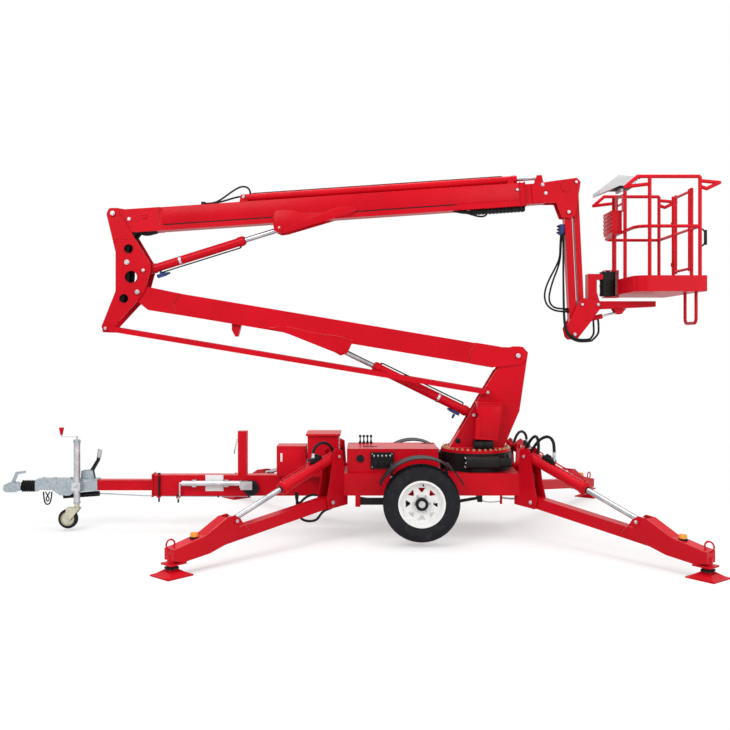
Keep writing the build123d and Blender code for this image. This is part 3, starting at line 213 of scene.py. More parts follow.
# camera: level, straight on to the machine's side, as the photograph was taken
viewSet = {"x": 0.1344, "y": -8.72, "z": 1.815, "lens": 892 / 730 * 36, "horizonPx": 343, "framePx": 730}
bpy.ops.object.camera_add(location=(viewSet["x"], viewSet["y"], viewSet["z"]), rotation=(math.pi / 2, 0, 0))
camera = bpy.context.object
camera.data.lens = viewSet["lens"]
camera.data.sensor_width = 36
camera.data.shift_y = (viewSet["horizonPx"] - viewSet["framePx"] / 2) / viewSet["framePx"]
bpy.context.scene.camera = camera

studioSet = {"floor": 60.0, "pale": (0.93, 0.93, 0.93, 1), "bounce": (0.62, 0.60, 0.60, 1), "near": 2.6,
             "far": 5.5, "white": 0.45}
bpy.ops.object.select_all(action="DESELECT")
bpy.ops.mesh.primitive_plane_add(size=studioSet["floor"], location=(0, 0, -0.001))
floor = bpy.context.object
floor.name = "studioFloor"
floorMat, floorShader, floorPlace = openMaterial("paleFloor")
floorShader.inputs["Roughness"].default_value = 0.8
# seen by the camera the floor runs out to plain white, and keeps the shadow under the machine
spread = floorPlace.add("ShaderNodeVectorMath", {"operation": "LENGTH"}, {0: floorPlace}, 1)
seen = floorPlace.add("ShaderNodeLightPath")
shiny = Wire(floorMat.node_tree, seen.socket.node.outputs["Is Glossy Ray"])
feed(floorShader, "Base Color", (seen + shiny).clamp(0.0, 1.0).mix(studioSet["bounce"], studioSet["pale"]))
plainWhite = floorPlace.add("ShaderNodeEmission", {}, {"Color": (1, 1, 1, 1), "Strength": 1.0})
share = spread.band(studioSet["near"], studioSet["far"]) * (1 - studioSet["white"]) + studioSet["white"]
lit = Wire(floorMat.node_tree, floorShader.outputs[0])
blended = floorPlace.add("ShaderNodeMixShader", {}, {0: share * seen, 1: lit, 2: plainWhite})
floorOut = floorMat.node_tree.nodes["Material Output"]
floorMat.node_tree.links.new(blended.socket, floorOut.inputs["Surface"])
floor.data.materials.append(floorMat)

world = bpy.data.worlds.new("studioWorld")
bpy.context.scene.world = world
world.use_nodes = True
tree = world.node_tree
back = tree.nodes["Background"]
back.inputs["Color"].default_value = (1, 1, 1, 1)
path = Wire(tree, tree.nodes.new("ShaderNodeLightPath").outputs["Is Camera Ray"])
glossy = Wire(tree, path.socket.node.outputs["Is Glossy Ray"])
strength = (path + glossy).clamp(0.0, 1.0) * 0.45 + 0.55
tree.links.new(strength.socket, back.inputs["Strength"])
# lamp columns: name, place, aim, size, watts
lampTable = [
    ("keySoft", (-5.0, -7.5, 8.0), (0, 0, 1.5), 6.0, 620),
    ("fillSoft", (6.5, -6.0, 5.0), (0, 0, 1.5), 6.0, 330),
    ("topSoft", (0.0, 1.0, 9.5), (0, 0, 1.0), 7.0, 420),
]
for name, spot, aim, size, watts in lampTable:
    bpy.ops.object.light_add(type="AREA", location=spot)
    lamp = bpy.context.object
    lamp.name = name
    lamp.data.size = size
    lamp.data.energy = watts
    lamp.rotation_euler = (Vector(aim) - Vector(spot)).to_track_quat("-Z", "Y").to_euler()
bpy.context.scene.view_settings.view_transform = "Standard"
print("studio and camera set")

# hose radii, by place
hoseSet = {"leg": 0.014, "under": 0.012, "knuckle": 0.019, "sag": 0.017, "jib": 0.009, "level": 0.010,
           "extend": 0.009, "bundle": 0.010, "bundleLoop": 0.009}


# modelling steps that many pieces share
def clear():
    bpy.ops.object.select_all(action="DESELECT")


def grab(obj):
    clear()
    obj.select_set(True)
    bpy.context.view_layer.objects.active = obj


def settle(obj):
    grab(obj)
    bpy.ops.object.transform_apply(location=True, rotation=True, scale=True)
    return obj


def aimed(obj, place, aim, twist=0.0):
    turn = Vector(aim).to_track_quat("Z", "Y").to_matrix().to_4x4()
    obj.matrix_world = Matrix.Translation(Vector(place)) @ turn @ Matrix.Rotation(twist, 4, "Z")
    return settle(obj)


# steps: radius and height of each ring, from one end to the other
def turned(name, steps, place=(0, 0, 0), aim=(0, 0, 1), sides=24, twist=0.0):
    clear()
    bpy.ops.mesh.primitive_circle_add(vertices=sides, radius=steps[0][0], fill_type="NGON")
    obj = bpy.context.object
    obj.name = name
    bpy.ops.object.mode_set(mode="EDIT")
    bpy.ops.mesh.select_all(action="SELECT")
    bpy.ops.transform.translate(value=(0, 0, steps[0][1]))
    for (r0, h0), (r1, h1) in zip(steps, steps[1:]):
        bpy.ops.mesh.extrude_region_move(TRANSFORM_OT_translate={"value": (0, 0, h1 - h0)})
        bpy.ops.transform.resize(value=(r1 / r0, r1 / r0, 1))
    bpy.ops.mesh.select_all(action="SELECT")
    bpy.ops.mesh.normals_make_consistent(inside=False)
    bpy.ops.object.mode_set(mode="OBJECT")
    return aimed(obj, place, aim, twist)


def boxed(name, low, high, soft=0.003, rounds=2):
    clear()
    mid = (Vector(low) + Vector(high)) / 2
    bpy.ops.mesh.primitive_cube_add(size=1, location=mid, scale=Vector(high) - Vector(low))
    obj = bpy.context.object
    obj.name = name
    settle(obj)
    bpy.ops.object.mode_set(mode="EDIT")
    bpy.ops.mesh.select_all(action="SELECT")
    bpy.ops.mesh.bevel(offset=soft, segments=rounds, affect="EDGES")
    bpy.ops.object.mode_set(mode="OBJECT")
    return obj


# outline: corners along two directions from a place; the plate grows along their cross product
def plated(name, outline, thick, place, across, up, soft=0.0015):
    u, v = Vector(across).normalized(), Vector(up).normalized()
    mesh = bpy.data.meshes.new(name)
    mesh.from_pydata([Vector(place) + u * a + v * b for a, b in outline], [], [tuple(range(len(outline)))])
    obj = bpy.data.objects.new(name, mesh)
    bpy.context.collection.objects.link(obj)
    grab(obj)
    bpy.ops.object.mode_set(mode="EDIT")
    bpy.ops.mesh.select_all(action="SELECT")
    bpy.ops.mesh.extrude_region_move(TRANSFORM_OT_translate={"value": u.cross(v) * thick})
    bpy.ops.mesh.select_all(action="SELECT")
    bpy.ops.mesh.normals_make_consistent(inside=False)
    if soft:
        bpy.ops.mesh.bevel(offset=soft, segments=2, affect="EDGES")
    bpy.ops.object.mode_set(mode="OBJECT")
    return obj


def piped(name, points, radius, bends=True, closed=False, sides=2, fine=8):
    line = bpy.data.curves.new(name, "CURVE")
    line.dimensions = "3D"
    run = line.splines.new("NURBS" if bends else "POLY")
    run.points.add(len(points) - 1)
    for knot, point in zip(run.points, points):
        knot.co = (*point, 1)
    if bends:
        run.order_u = 3
        run.use_endpoint_u = not closed
    run.use_cyclic_u = closed
    line.bevel_depth = radius
    line.bevel_resolution = sides
    line.resolution_u = fine
    line.use_fill_caps = True
    obj = bpy.data.objects.new(name, line)
    bpy.context.collection.objects.link(obj)
    grab(obj)
    bpy.ops.object.convert(target="MESH")
    return bpy.context.object


def joined(name, parts):
    grab(parts[0])
    for part in parts:
        part.select_set(True)
    if len(parts) > 1:
        bpy.ops.object.join()
    parts[0].name = name
    return parts[0]


# spots: place and direction of each copy of one modelled shape
def copied(name, master, spots):
    copies = []
    for place, aim in spots:
        turn = Vector(aim).to_track_quat("Z", "Y").to_matrix().to_4x4()
        mesh = master.data.copy()
        mesh.transform(Matrix.Translation(Vector(place)) @ turn)
        copy = bpy.data.objects.new(name, mesh)
        bpy.context.collection.objects.link(copy)
        copies.append(copy)
    bpy.data.objects.remove(master)
    return joined(name, copies)


def coated(obj, finish, angle=35):
    grab(obj)
    bpy.ops.object.shade_smooth_by_angle(angle=math.radians(angle))
    obj.data.materials.clear()
    obj.data.materials.append(finish)


def finished(obj, body, finish, angle=35):
    coated(obj, finish, angle)
    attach(obj, body)
    return obj


def piece(name, parts, body, finish, angle=35):
    return finished(joined(name, parts), body, finish, angle)


def placed(name, master, spots, body, finish):
    finished(copied(name, master, spots), body, finish)


def circleOf(count):
    return [i * math.tau / count for i in range(count)]


# a hose that starts on one body and ends on the next
def bridged(hose, start):
    coated(hose, blackRubber)
    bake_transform(hose)


def hexHead(across, head, washer=0.003):
    base = turned("washer", [(across * 0.72, 0), (across * 0.72, washer)], sides=20)
    nut = turned("head", [(across * 0.56, washer), (across * 0.577, washer + head * 0.15),
                          (across * 0.577, washer + head * 0.85), (across * 0.50, washer + head)], sides=6)
    return joined("bolt", [nut, base])


def pinOf(jointName):
    return Vector(joints[jointName]["pos_m"])


# pins: zinc heads with a keeper bolt at both ends of each cross pin
# pin columns: body, place, half length, pin radius
boomA = pinOf("lower_boom_lift")
linkB = pinOf("link_swing")
tipA = pinOf("knuckle_level")
tipB = tipA + (linkB - boomA)
footA = pinOf("jib_foot_level")
footB = footA + (pinOf("jib_link_swing") - pinOf("jib_swing"))
pinTable = [
    ("turret", boomA, 0.106, 0.030),
    ("turret", linkB, 0.147, 0.020),
    ("turret", pinOf("lower_barrel_swing"), 0.088, 0.022),
    ("knuckle", tipA, 0.120, 0.030),
    ("knuckle", tipB, 0.147, 0.020),
    ("knuckle", pinOf("upper_boom_lift"), 0.120, 0.030),
    ("knuckle", pinOf("upper_barrel_swing"), 0.118, 0.022),
    ("telescope", pinOf("jib_swing"), 0.088, 0.022),
    ("telescope", pinOf("jib_link_swing"), 0.088, 0.018),
    ("jib_foot", footA, 0.088, 0.022),
    ("jib_foot", footB, 0.088, 0.018),
    ("jib_foot", pinOf("platform_level"), 0.088, 0.020),
]
pinSet = {"lip": 0.74, "thick": 0.006, "bolt": 0.72}


def pinHead(radius):
    lip = radius * pinSet["lip"]
    head = turned("head",
                  [(lip * 0.9, -0.002), (lip, 0), (lip, pinSet["thick"] * 0.7), (lip * 0.9, pinSet["thick"])],
                  sides=28)
    return joined("pinHead", [head, hexAt(radius * pinSet["bolt"], pinSet["thick"])])


def hexAt(across, height):
    bolt = hexHead(across, across * 0.35)
    bolt.location.z = height
    return settle(bolt)


for number, (body, place, half, radius) in enumerate(pinTable):
    spots = [(place + Vector((0, hand * half, 0)), (0, hand, 0)) for hand in (-1, 1)]
    placed("pinHeads" + str(number), pinHead(radius), spots, body, zincSteel)
print("pin heads on")

# outriggers: lamp, lifting ring, foot ribs, pin heads, ram rings, valve block, pipe and weld seams
# leg columns: name, plan angle
legTable = [("front_near", 228), ("front_far", 132), ("rear_near", -52), ("rear_far", 52)]
legSet = {"reach": 1.730, "droop": 6.2, "ramPin": (1.128, -0.003), "lampBack": 0.215, "lampUp": 0.096,
          "lampRadius": 0.031, "ringRadius": 0.040, "ringWire": 0.007, "ringAhead": 0.012, "ringUp": 0.084,
          "plateHalf": 0.060, "rib": 0.008, "pinHalf": 0.076, "ramHalf": 0.074, "rodHalf": 0.068,
          "barrel": 0.690, "soleTop": 0.012, "bead": 0.0045}


def outward(angle):
    return Vector((math.cos(math.radians(angle)), math.sin(math.radians(angle)), 0))


for name, angle in legTable:
    out = outward(angle)
    wide = Vector((out.y, -out.x, 0))
    root = pinOf("leg_lift_" + name)
    headZ = -legSet["reach"] * math.tan(math.radians(legSet["droop"]))

    def legAt(u, v, w=0.0):
        return root + out * u + Vector((0, 0, v)) + wide * w

    leg = "leg_" + name
    lampPlace = legAt(legSet["reach"] - legSet["lampBack"], headZ + legSet["lampUp"])
    base = turned("lampBase", [(0.036, -0.01), (0.036, 0.010), (0.033, 0.014)], lampPlace)
    piece("lampBase_" + name, [base], leg, blackPlastic)
    r = legSet["lampRadius"]
    lens = [(r, 0.012), (r, 0.036)]
    lens += [(r * math.cos(a), 0.036 + 0.014 * math.sin(a)) for a in (0.4, 0.8, 1.2, 1.5)]
    finished(turned("lampLens_" + name, lens, lampPlace, sides=32), leg, amberLens)
    eye = legAt(legSet["reach"] + legSet["ringAhead"], headZ + legSet["ringUp"])
    ring = [eye + (out * math.cos(a) + Vector((0, 0, math.sin(a)))) * legSet["ringRadius"]
            for a in circleOf(16)]
    hoop = piped("ring", ring, legSet["ringWire"], closed=True)
    stem = turned("stem", [(0.014, -0.03), (0.014, 0.012), (0.009, 0.016)], eye - Vector((0, 0, 0.052)))
    piece("liftRing_" + name, [hoop, stem], leg, redPaint)
    foot = legAt(legSet["reach"], 0)
    foot.z = legSet["soleTop"]
    ribs = []
    for turn in (45, 135, 225, 315):
        way = Matrix.Rotation(math.radians(turn + angle), 3, "Z") @ Vector((1, 0, 0))
        flank = way.cross(Vector((0, 0, 1)))
        shape = [(0.034, 0.0), (0.132, 0.0), (0.132, 0.005), (0.066, 0.036), (0.034, 0.050)]
        ribs.append(plated("rib", shape, legSet["rib"], foot - flank * legSet["rib"] / 2, way, (0, 0, 1)))
    piece("footRibs_" + name, ribs, leg, redPaint)
    collar = turned("collar", [(0.040, 0.040), (0.048, 0.044), (0.048, 0.060), (0.040, 0.064)], foot)
    turns = [Matrix.Rotation(a, 3, "Z") for a in circleOf(6)]
    spots = [(foot + turn @ Vector((0.047, 0, 0.052)), turn @ Vector((1, 0, 0))) for turn in turns]
    screws = copied("screws", hexHead(0.016, 0.008, 0.001), spots)
    piece("footCollar_" + name, [collar, screws], leg, blackPaint)
    rodPin = legAt(*legSet["ramPin"])
    ramFoot = pinOf("leg_barrel_swing_" + name)
    for place, half, radius, body, label in (
        (root, legSet["pinHalf"], 0.025, "chassis", "legPin_"),
        (ramFoot, legSet["ramHalf"], 0.020, "chassis", "ramPin_"),
        (rodPin, legSet["rodHalf"], 0.020, leg, "rodPin_"),
    ):
        spots = [(place + wide * hand * half, wide * hand) for hand in (1, -1)]
        placed(label + name, pinHead(radius), spots, body, zincSteel)
    along = (rodPin - ramFoot).normalized()
    gland = ramFoot + along * legSet["barrel"]
    glandRing = turned("gland",
                       [(0.036, -0.004), (0.052, -0.004), (0.052, 0.010), (0.040, 0.016), (0.030, 0.016)],
                       gland, along, 32)
    barrel = "leg_barrel_" + name
    piece("gland_" + name, [glandRing], barrel, redPaint)
    wiper = turned("wiper", [(0.025, 0.014), (0.032, 0.014), (0.030, 0.021), (0.025, 0.022)], gland, along,
                   32)
    piece("wiper_" + name, [wiper], barrel, blackRubber)
    over = (Vector((0, 0, 1)) - along * along.z).normalized()
    across = along.cross(over)
    block = plated("block",
                   [(0.165, 0.050), (0.300, 0.050), (0.300, 0.084), (0.282, 0.096), (0.185, 0.096),
                    (0.165, 0.082)],
                   0.050, ramFoot - across * 0.025, along, over, 0.004)
    caps = [turned("cap", [(0.015, 0), (0.015, 0.010), (0.011, 0.014)], ramFoot + along * t + over * 0.095,
                   over, 8)
            for t in (0.200, 0.228)]
    piece("legValve_" + name, [block] + caps, barrel, blackPaint)
    feedLine = [ramFoot + along * t + over * h
                for t, h in ((0.290, 0.074), (0.340, 0.072), (0.620, 0.072), (0.660, 0.072), (0.668, 0.048))]
    finished(piped("legPipe_" + name, feedLine, 0.007), barrel, redPaint)
    seams = []
    for hand in (1, -1):
        edge = [legAt(u, v, hand * legSet["plateHalf"])
                for u, v in ((0.985, -0.112), (1.022, -0.070), (1.040, -0.052), (1.068, -0.046),
                             (1.090, -0.060))]
        seams.append(piped("seam", edge, legSet["bead"]))
        ridge = [legAt(u, v, hand * (legSet["plateHalf"] - 0.004)) for u, v in (
            (1.222, 0.036), (1.446, headZ + 0.110), (1.666, headZ + 0.064), (1.752, headZ + 0.049))]
        seams.append(piped("seam", ridge, legSet["bead"], bends=False))
    piece("legSeams_" + name, seams, leg, weldBead)
print("outriggers dressed")

# road wheels: tread and ribbed side walls in the solid's own outline
axle = pinOf("wheel_spin_near")
tyreSet = {"steps": 120, "sipe": 0.006, "shoulder": (0.055, 0.083), "shoulderRadius": 0.3265,
           "shoulderStep": 3, "block": (0.020, 0.050), "blockRadius": 0.342, "blockStep": 4}
# profile columns: distance from the wheel's middle, radius
tyreProfile = [
    (-0.080, 0.200), (-0.0875, 0.206), (-0.093, 0.217), (-0.0945, 0.224), (-0.0975, 0.240), (-0.1000, 0.243),
    (-0.1022, 0.262), (-0.1025, 0.270), (-0.0985, 0.296), (-0.0960, 0.299), (-0.0935, 0.313), (-0.084, 0.327),
    (-0.072, 0.337), (-0.058, 0.3405),
    (-0.054, 0.3435), (-0.054, 0.3365), (-0.046, 0.3365), (-0.046, 0.344),
    (-0.022, 0.344), (-0.022, 0.3370), (-0.014, 0.3370), (-0.014, 0.344),
]
tyreProfile = tyreProfile + [(-u, r) for u, r in reversed(tyreProfile)]


def makeTyre(name, body):
    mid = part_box("tyre_" + name)
    centre = Vector((axle.x, (mid[0].y + mid[1].y) / 2, axle.z))
    mesh = bpy.data.meshes.new("tyre")
    mesh.from_pydata([centre + Vector((0, u, r)) for u, r in tyreProfile],
                     [(i, i + 1) for i in range(len(tyreProfile) - 1)], [])
    obj = bpy.data.objects.new("roadTyre_" + name, mesh)
    bpy.context.collection.objects.link(obj)
    grab(obj)
    bpy.ops.object.mode_set(mode="EDIT")
    bpy.ops.mesh.select_all(action="SELECT")
    bpy.ops.mesh.spin(steps=tyreSet["steps"], angle=math.tau, center=centre, axis=(0, 1, 0))
    bpy.ops.mesh.select_all(action="SELECT")
    bpy.ops.mesh.remove_doubles(threshold=0.00005)
    bpy.ops.mesh.normals_make_consistent(inside=False)
    bpy.ops.mesh.select_all(action="DESELECT")
    shell = bmesh.from_edit_mesh(obj.data)
    for face in shell.faces:
        spot = face.calc_center_median() - centre
        radius = math.hypot(spot.x, spot.z)
        share = math.atan2(spot.z, spot.x) / math.tau
        step = int(share * tyreSet["steps"] + tyreSet["steps"]) % tyreSet["steps"]
        shoulderIn, shoulderOut = tyreSet["shoulder"]
        blockIn, blockOut = tyreSet["block"]
        shoulder = radius > tyreSet["shoulderRadius"] and shoulderIn < abs(spot.y) < shoulderOut
        block = radius > tyreSet["blockRadius"] and blockIn < abs(spot.y) < blockOut
        blockTurn = 0 if spot.y > 0 else 2
        shoulderCut = shoulder and step % tyreSet["shoulderStep"] == 0
        blockCut = block and step % tyreSet["blockStep"] == blockTurn
        if shoulderCut or blockCut:
            face.select = True
    bmesh.update_edit_mesh(obj.data)
    bpy.ops.mesh.extrude_region_shrink_fatten(TRANSFORM_OT_shrink_fatten={"value": -tyreSet["sipe"]})
    bpy.ops.object.mode_set(mode="OBJECT")
    finished(obj, body, tyreRubber, 30)
    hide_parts("tyre_" + name)


wheelSet = {"nuts": 6, "nutRing": 0.073, "disc": 0.045, "valve": 0.168}
for name, hand in (("near", -1), ("far", 1)):
    body = "wheel_" + name
    makeTyre(name, body)
    low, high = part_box("tyre_" + name)
    middle = (low.y + high.y) / 2
    outside = Vector((0, hand, 0))
    hubFace = Vector((axle.x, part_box("rim_" + name)[0 if hand < 0 else 1].y, axle.z))
    shell = turned("shell",
                   [(0.0562, -0.045), (0.0572, -0.042), (0.0572, 0.0), (0.053, 0.003), (0.030, 0.003)],
                   hubFace, outside, 48)
    piece("hubShell_" + name, [shell], body, blackPaint)
    cap = turned("cap", [(0.031, 0.002), (0.031, 0.007), (0.028, 0.010), (0.016, 0.0115), (0.006, 0.012)],
                 hubFace, outside, 32)
    piece("hubCap_" + name, [cap], body, zincSteel)
    disc = middle + hand * wheelSet["disc"]
    spots = [((axle.x + wheelSet["nutRing"] * math.cos(a), disc, axle.z + wheelSet["nutRing"] * math.sin(a)),
              outside)
             for a in circleOf(wheelSet["nuts"])]
    placed("wheelNuts_" + name, hexHead(0.018, 0.011, 0.002), spots, body, zincSteel)
    stem = turned("stem", [(0.005, 0.0), (0.005, 0.024), (0.0062, 0.025), (0.0062, 0.034), (0.004, 0.036)],
                  (axle.x + 0.012, disc + hand * 0.006, axle.z + wheelSet["valve"] + 0.006), (0, hand, -0.35),
                  16)
    piece("valve_" + name, [stem], body, blackRubber)
print("road wheels dressed")

# tracks along the booms, in their own directions: u along the boom, v square to it, y across
lowerTilt, upperTilt, jibTilt = math.radians(9.5), math.radians(3.9), math.radians(2.8)
rootC = pinOf("upper_boom_lift")
jibA = pinOf("jib_swing")


def lowerAt(u, v, y):
    return boomA + Vector((-u * math.cos(lowerTilt) + v * math.sin(lowerTilt), y,
                           u * math.sin(lowerTilt) + v * math.cos(lowerTilt)))


def upperAt(u, v, y):
    return rootC + Vector((u * math.cos(upperTilt) - v * math.sin(upperTilt), y,
                           u * math.sin(upperTilt) + v * math.cos(upperTilt)))


def jibAt(u, v, y):
    return jibA + Vector((u * math.sin(jibTilt) + v * math.cos(jibTilt), y,
                          -u * math.cos(jibTilt) + v * math.sin(jibTilt)))


def flatAt(x, z, y):
    return Vector((x, y, z))


upperAlong = upperAt(1, 0, 0) - rootC
upperUp = upperAt(0, 1, 0) - rootC


def weldRuns(name, body, runs, radius=0.004):
    beads = [piped("bead", points, radius, bends=bends) for points, bends in runs]
    piece(name, beads, body, weldBead)


# weld runs round the welded cheeks and brackets, on both sides
boomSet = {"half": 0.080, "weld": 0.0815, "cheek": 0.092, "head": 0.078}
lowerRuns, upperRuns = [], []
for hand in (1, -1):
    y = hand * boomSet["weld"]
    for line in ([(0.180, 0.054), (0.420, 0.054), (0.470, -0.050), (0.420, -0.152), (0.220, -0.152)],
                 [(3.600, 0.054), (3.328, 0.053), (3.378, -0.050), (3.328, -0.152), (3.600, -0.152)]):
        lowerRuns.append(([lowerAt(u, v, y) for u, v in line], False))
    wave = [(1.600, -0.125), (1.660, -0.110), (1.760, -0.100), (1.944, -0.114), (2.120, -0.100),
            (2.294, -0.092), (2.414, -0.132)]
    lowerRuns.append(([lowerAt(u, v, y) for u, v in wave], True))
    line = [(0.120, 0.0325), (0.450, 0.0325), (0.420, -0.080), (0.450, -0.1925), (0.160, -0.1925)]
    upperRuns.append(([upperAt(u, v, y) for u, v in line], False))
    wave = [(1.530, -0.140), (1.570, -0.122), (1.800, -0.118), (1.960, -0.132), (2.152, -0.130),
            (2.312, -0.168)]
    upperRuns.append(([upperAt(u, v, y) for u, v in wave], True))
weldRuns("lowerSeams", "lower_boom", lowerRuns)
weldRuns("upperSeams", "upper_boom", upperRuns)

# rolled bands at the boom's mouth and the slide-pad screws
mouth = []
for u in (3.945, 3.990):
    edge = [upperAt(u, v, y) for y, v in ((-0.083, 0.036), (0.083, 0.036), (0.083, -0.196), (-0.083, -0.196))]
    mouth.append(piped("band", edge, 0.006, bends=False, closed=True))
piece("boomMouth", mouth, "upper_boom", redPaint)
spots = []
for hand in (1, -1):
    for u, v in ((3.915, -0.034), (0.148, -0.062)):
        spots.append((upperAt(u, v, hand * boomSet["half" if u > 1 else "cheek"]), (0, hand, 0)))
placed("padScrews", hexHead(0.024, 0.010), spots, "upper_boom", zincSteel)
spots = [(upperAt(u, v, hand * boomSet["head"]), (0, hand, 0)) for hand in (1, -1)
         for u, v in ((4.165, 0.000), (4.190, -0.085))]
placed("headScrews", hexHead(0.024, 0.010), spots, "telescope", zincSteel)
# walls of the boom stand proud of the hose channel below; the thin black strip between them is painted shade,
# standing in for the shadow in the gap
wallSet = {"from": 0.470, "to": 3.320, "top": 0.030, "low": -0.134, "gap": -0.144, "thick": 0.003,
           "face": 0.080, "mouth": 3.930, "gapShadeThick": 0.0012}
walls, gapShades = [], []
# strip columns: name, end, low edge, high edge, thickness, group
stripTable = [
    ("wall", wallSet["mouth"], wallSet["low"], wallSet["top"], wallSet["thick"], walls),
    ("gap", wallSet["to"], wallSet["gap"], wallSet["low"], wallSet["gapShadeThick"], gapShades),
]
for hand in (1, -1):
    for name, u1, v0, v1, thick, group in stripTable:
        shape = [(wallSet["from"], v0), (u1, v0), (u1, v1), (wallSet["from"], v1)]
        y = wallSet["face"] + thick if hand > 0 else -wallSet["face"]
        group.append(plated(name, shape, thick, rootC + Vector((0, y, 0)), upperAlong, upperUp, 0.0004))
piece("boomWalls", walls, "upper_boom", redPaint)
# black strips: painted shade in the gap between the walls and the hose channel
piece("channelGapShade", gapShades, "upper_boom", blackRubber)
# doubling plate with a waved top edge over the ram bracket, and the ram pin's heads
waveOutline = [
    (1.545, -0.105), (1.572, -0.078), (1.611, -0.075), (1.760, -0.085), (1.794, -0.101), (1.831, -0.122),
    (1.917, -0.138), (2.010, -0.134), (2.054, -0.119), (2.104, -0.099), (2.154, -0.085), (2.202, -0.082),
    (2.316, -0.087), (2.346, -0.106), (2.351, -0.126), (2.319, -0.149), (1.989, -0.223), (1.664, -0.296),
    (1.601, -0.301), (1.573, -0.282), (1.546, -0.212),
]
doublers = [plated("doubler", waveOutline, 0.004, rootC + Vector((0, y, 0)), upperAlong,
                   upperUp, 0.0008) for y in (0.094, -0.0895)]
piece("bracketPlates", doublers, "upper_boom", redPaint)
spots = [(upperAt(1.592, -0.245, hand * 0.0935), (0, hand, 0)) for hand in (1, -1)]
placed("bracketPins", pinHead(0.020), spots, "upper_boom", zincSteel)
boss = [turned("boss", [(0.030, 0), (0.030, 0.004), (0.022, 0.006), (0.020, 0.002)],
               upperAt(0.300, -0.045, hand * boomSet["cheek"]), (0, hand, 0)) for hand in (1, -1)]
piece("rootBoss", boss, "upper_boom", redPaint)

# knuckle: rims round the holes, a keeper bolt, a stiffener bead and hoses
knuckleSet = {"holes": ((-0.086, 0.417, 0.046), (-0.062, 0.145, 0.061), (-0.132, -0.064, 0.046)),
              "face": 0.108}
rims = []
for dx, dz, radius in knuckleSet["holes"]:
    for hand in (1, -1):
        middle = tipA + Vector((dx, hand * knuckleSet["face"], dz))
        circle = [middle + Vector((math.cos(a), 0, math.sin(a))) * radius * 1.03 for a in circleOf(24)]
        rims.append(piped("rim", circle, 0.0045, closed=True))
for hand in (1, -1):
    bead = [tipA + Vector((dx, hand * 0.1085, dz)) for dx, dz in
            ((-0.222, 0.480), (-0.210, 0.512), (-0.180, 0.524), (-0.140, 0.505), (-0.078, 0.518))]
    rims.append(piped("bead", bead, 0.004))
piece("knuckleRims", rims, "knuckle", redPaint)
spots = [(tipA + Vector((-0.102, hand * 0.108, 0.288)), (0, hand, 0)) for hand in (1, -1)]
placed("knuckleBolts", hexHead(0.034, 0.012), spots, "knuckle", zincSteel)
# hoses from the upper boom's channel down through the knuckle
# route columns: distance ahead, height
downRoute = [(-2.090, 2.905), (-2.150, 2.842), (-2.186, 2.735), (-2.194, 2.610), (-2.176, 2.465),
             (-2.200, 2.350), (-2.232, 2.262), (-2.236, 2.190)]
downHoses = [piped("hose", [(x + shift, y, z) for x, z in downRoute], hoseSet["knuckle"]) for y, shift in
             ((-0.058, 0.010), (-0.020, -0.026), (0.020, 0.018), (0.058, -0.012), (0.0, 0.048))]
piece("knuckleHoses", downHoses, "knuckle", blackRubber)
sagRoute = [(-1.900, 2.905), (-1.960, 2.886), (-2.020, 2.880), (-2.068, 2.898), (-2.100, 2.890)]
for i, y in enumerate((-0.050, -0.012, 0.030)):
    points = [(x, y, z) for x, z in sagRoute]
    bridged(piped("sagHose_" + str(i), points, hoseSet["sag"]), points[1])
print("booms seamed")

# rams: gland, base ring, port blocks and the pipe along the barrel
# ram columns: barrel body, foot, far point, barrel length, barrel radius, rod radius, pipe side
lowerFoot, upperFoot = pinOf("lower_barrel_swing"), pinOf("upper_barrel_swing")
ramTable = [
    ("lower_barrel", lowerFoot, lowerAt(1.694, -0.232, 0), 1.072, 0.045, 0.026, 1),
    ("upper_barrel", upperFoot, upperAt(1.592, -0.250, 0), 1.005, 0.042, 0.026, -1),
]
for body, start, far, length, radius, rod, over in ramTable:
    along = (far - start).normalized()
    up = Vector((0, 1, 0)).cross(along) if along.x > 0 else along.cross(Vector((0, 1, 0)))
    up = up if up.z > 0 else -up
    side = up * over
    gland = turned("gland", [(radius * 0.98, -0.060), (radius + 0.007, -0.060), (radius + 0.007, -0.012),
                             (radius + 0.002, -0.006), (radius + 0.002, 0.004), (rod + 0.010, 0.010),
                             (rod + 0.004, 0.010)], start + along * length, along, 36)
    base = turned("base", [(radius * 0.98, 0.070), (radius + 0.006, 0.070), (radius + 0.006, 0.110),
                           (radius * 0.98, 0.110)], start, along, 36)
    piece(body + "Rings", [gland, base], body, redPaint)
    wiper = turned("wiper",
                   [(rod + 0.001, 0.008), (rod + 0.007, 0.008), (rod + 0.005, 0.015), (rod + 0.001, 0.015)],
                   start + along * length, along, 32)
    piece(body + "Wiper", [wiper], body, blackRubber)
    offset = side * (radius + 0.016)
    pipe = [start + along * 0.13 + side * (radius - 0.004), start + along * 0.13 + offset * 1.02,
            start + along * 0.17 + offset, start + along * (length - 0.09) + offset,
            start + along * (length - 0.045) + offset,
            start + along * (length - 0.040) + side * (radius - 0.004)]
    finished(piped(body + "Pipe", pipe, 0.0065), body, blackRubber)
    clip = turned("clip", [(radius + 0.001, -0.012), (radius + 0.0035, -0.011), (radius + 0.0035, 0.011),
                           (radius + 0.001, 0.012)], start + along * length * 0.35, along, 36)
    piece(body + "Clips", [clip], body, zincSteel)
    if over > 0:
        valve = start + along * 0.165 - side * (radius + 0.012)
    else:
        valve = start + along * 0.135 + side * (radius + 0.042)
    block = turned("block", [(0.022, -0.045), (0.024, -0.043), (0.024, 0.043), (0.022, 0.045)], valve, along,
                   4, math.radians(45))
    nose = turned("nose", [(0.014, 0.044), (0.014, 0.066), (0.010, 0.070), (0.010, 0.084), (0.006, 0.086)],
                  valve, along, 6)
    stub = turned("stub", [(0.013, 0.020), (0.013, 0.036), (0.009, 0.066)], valve, -side, 6)
    piece(body + "Valve", [block, nose, stub], body, blueAnodised)
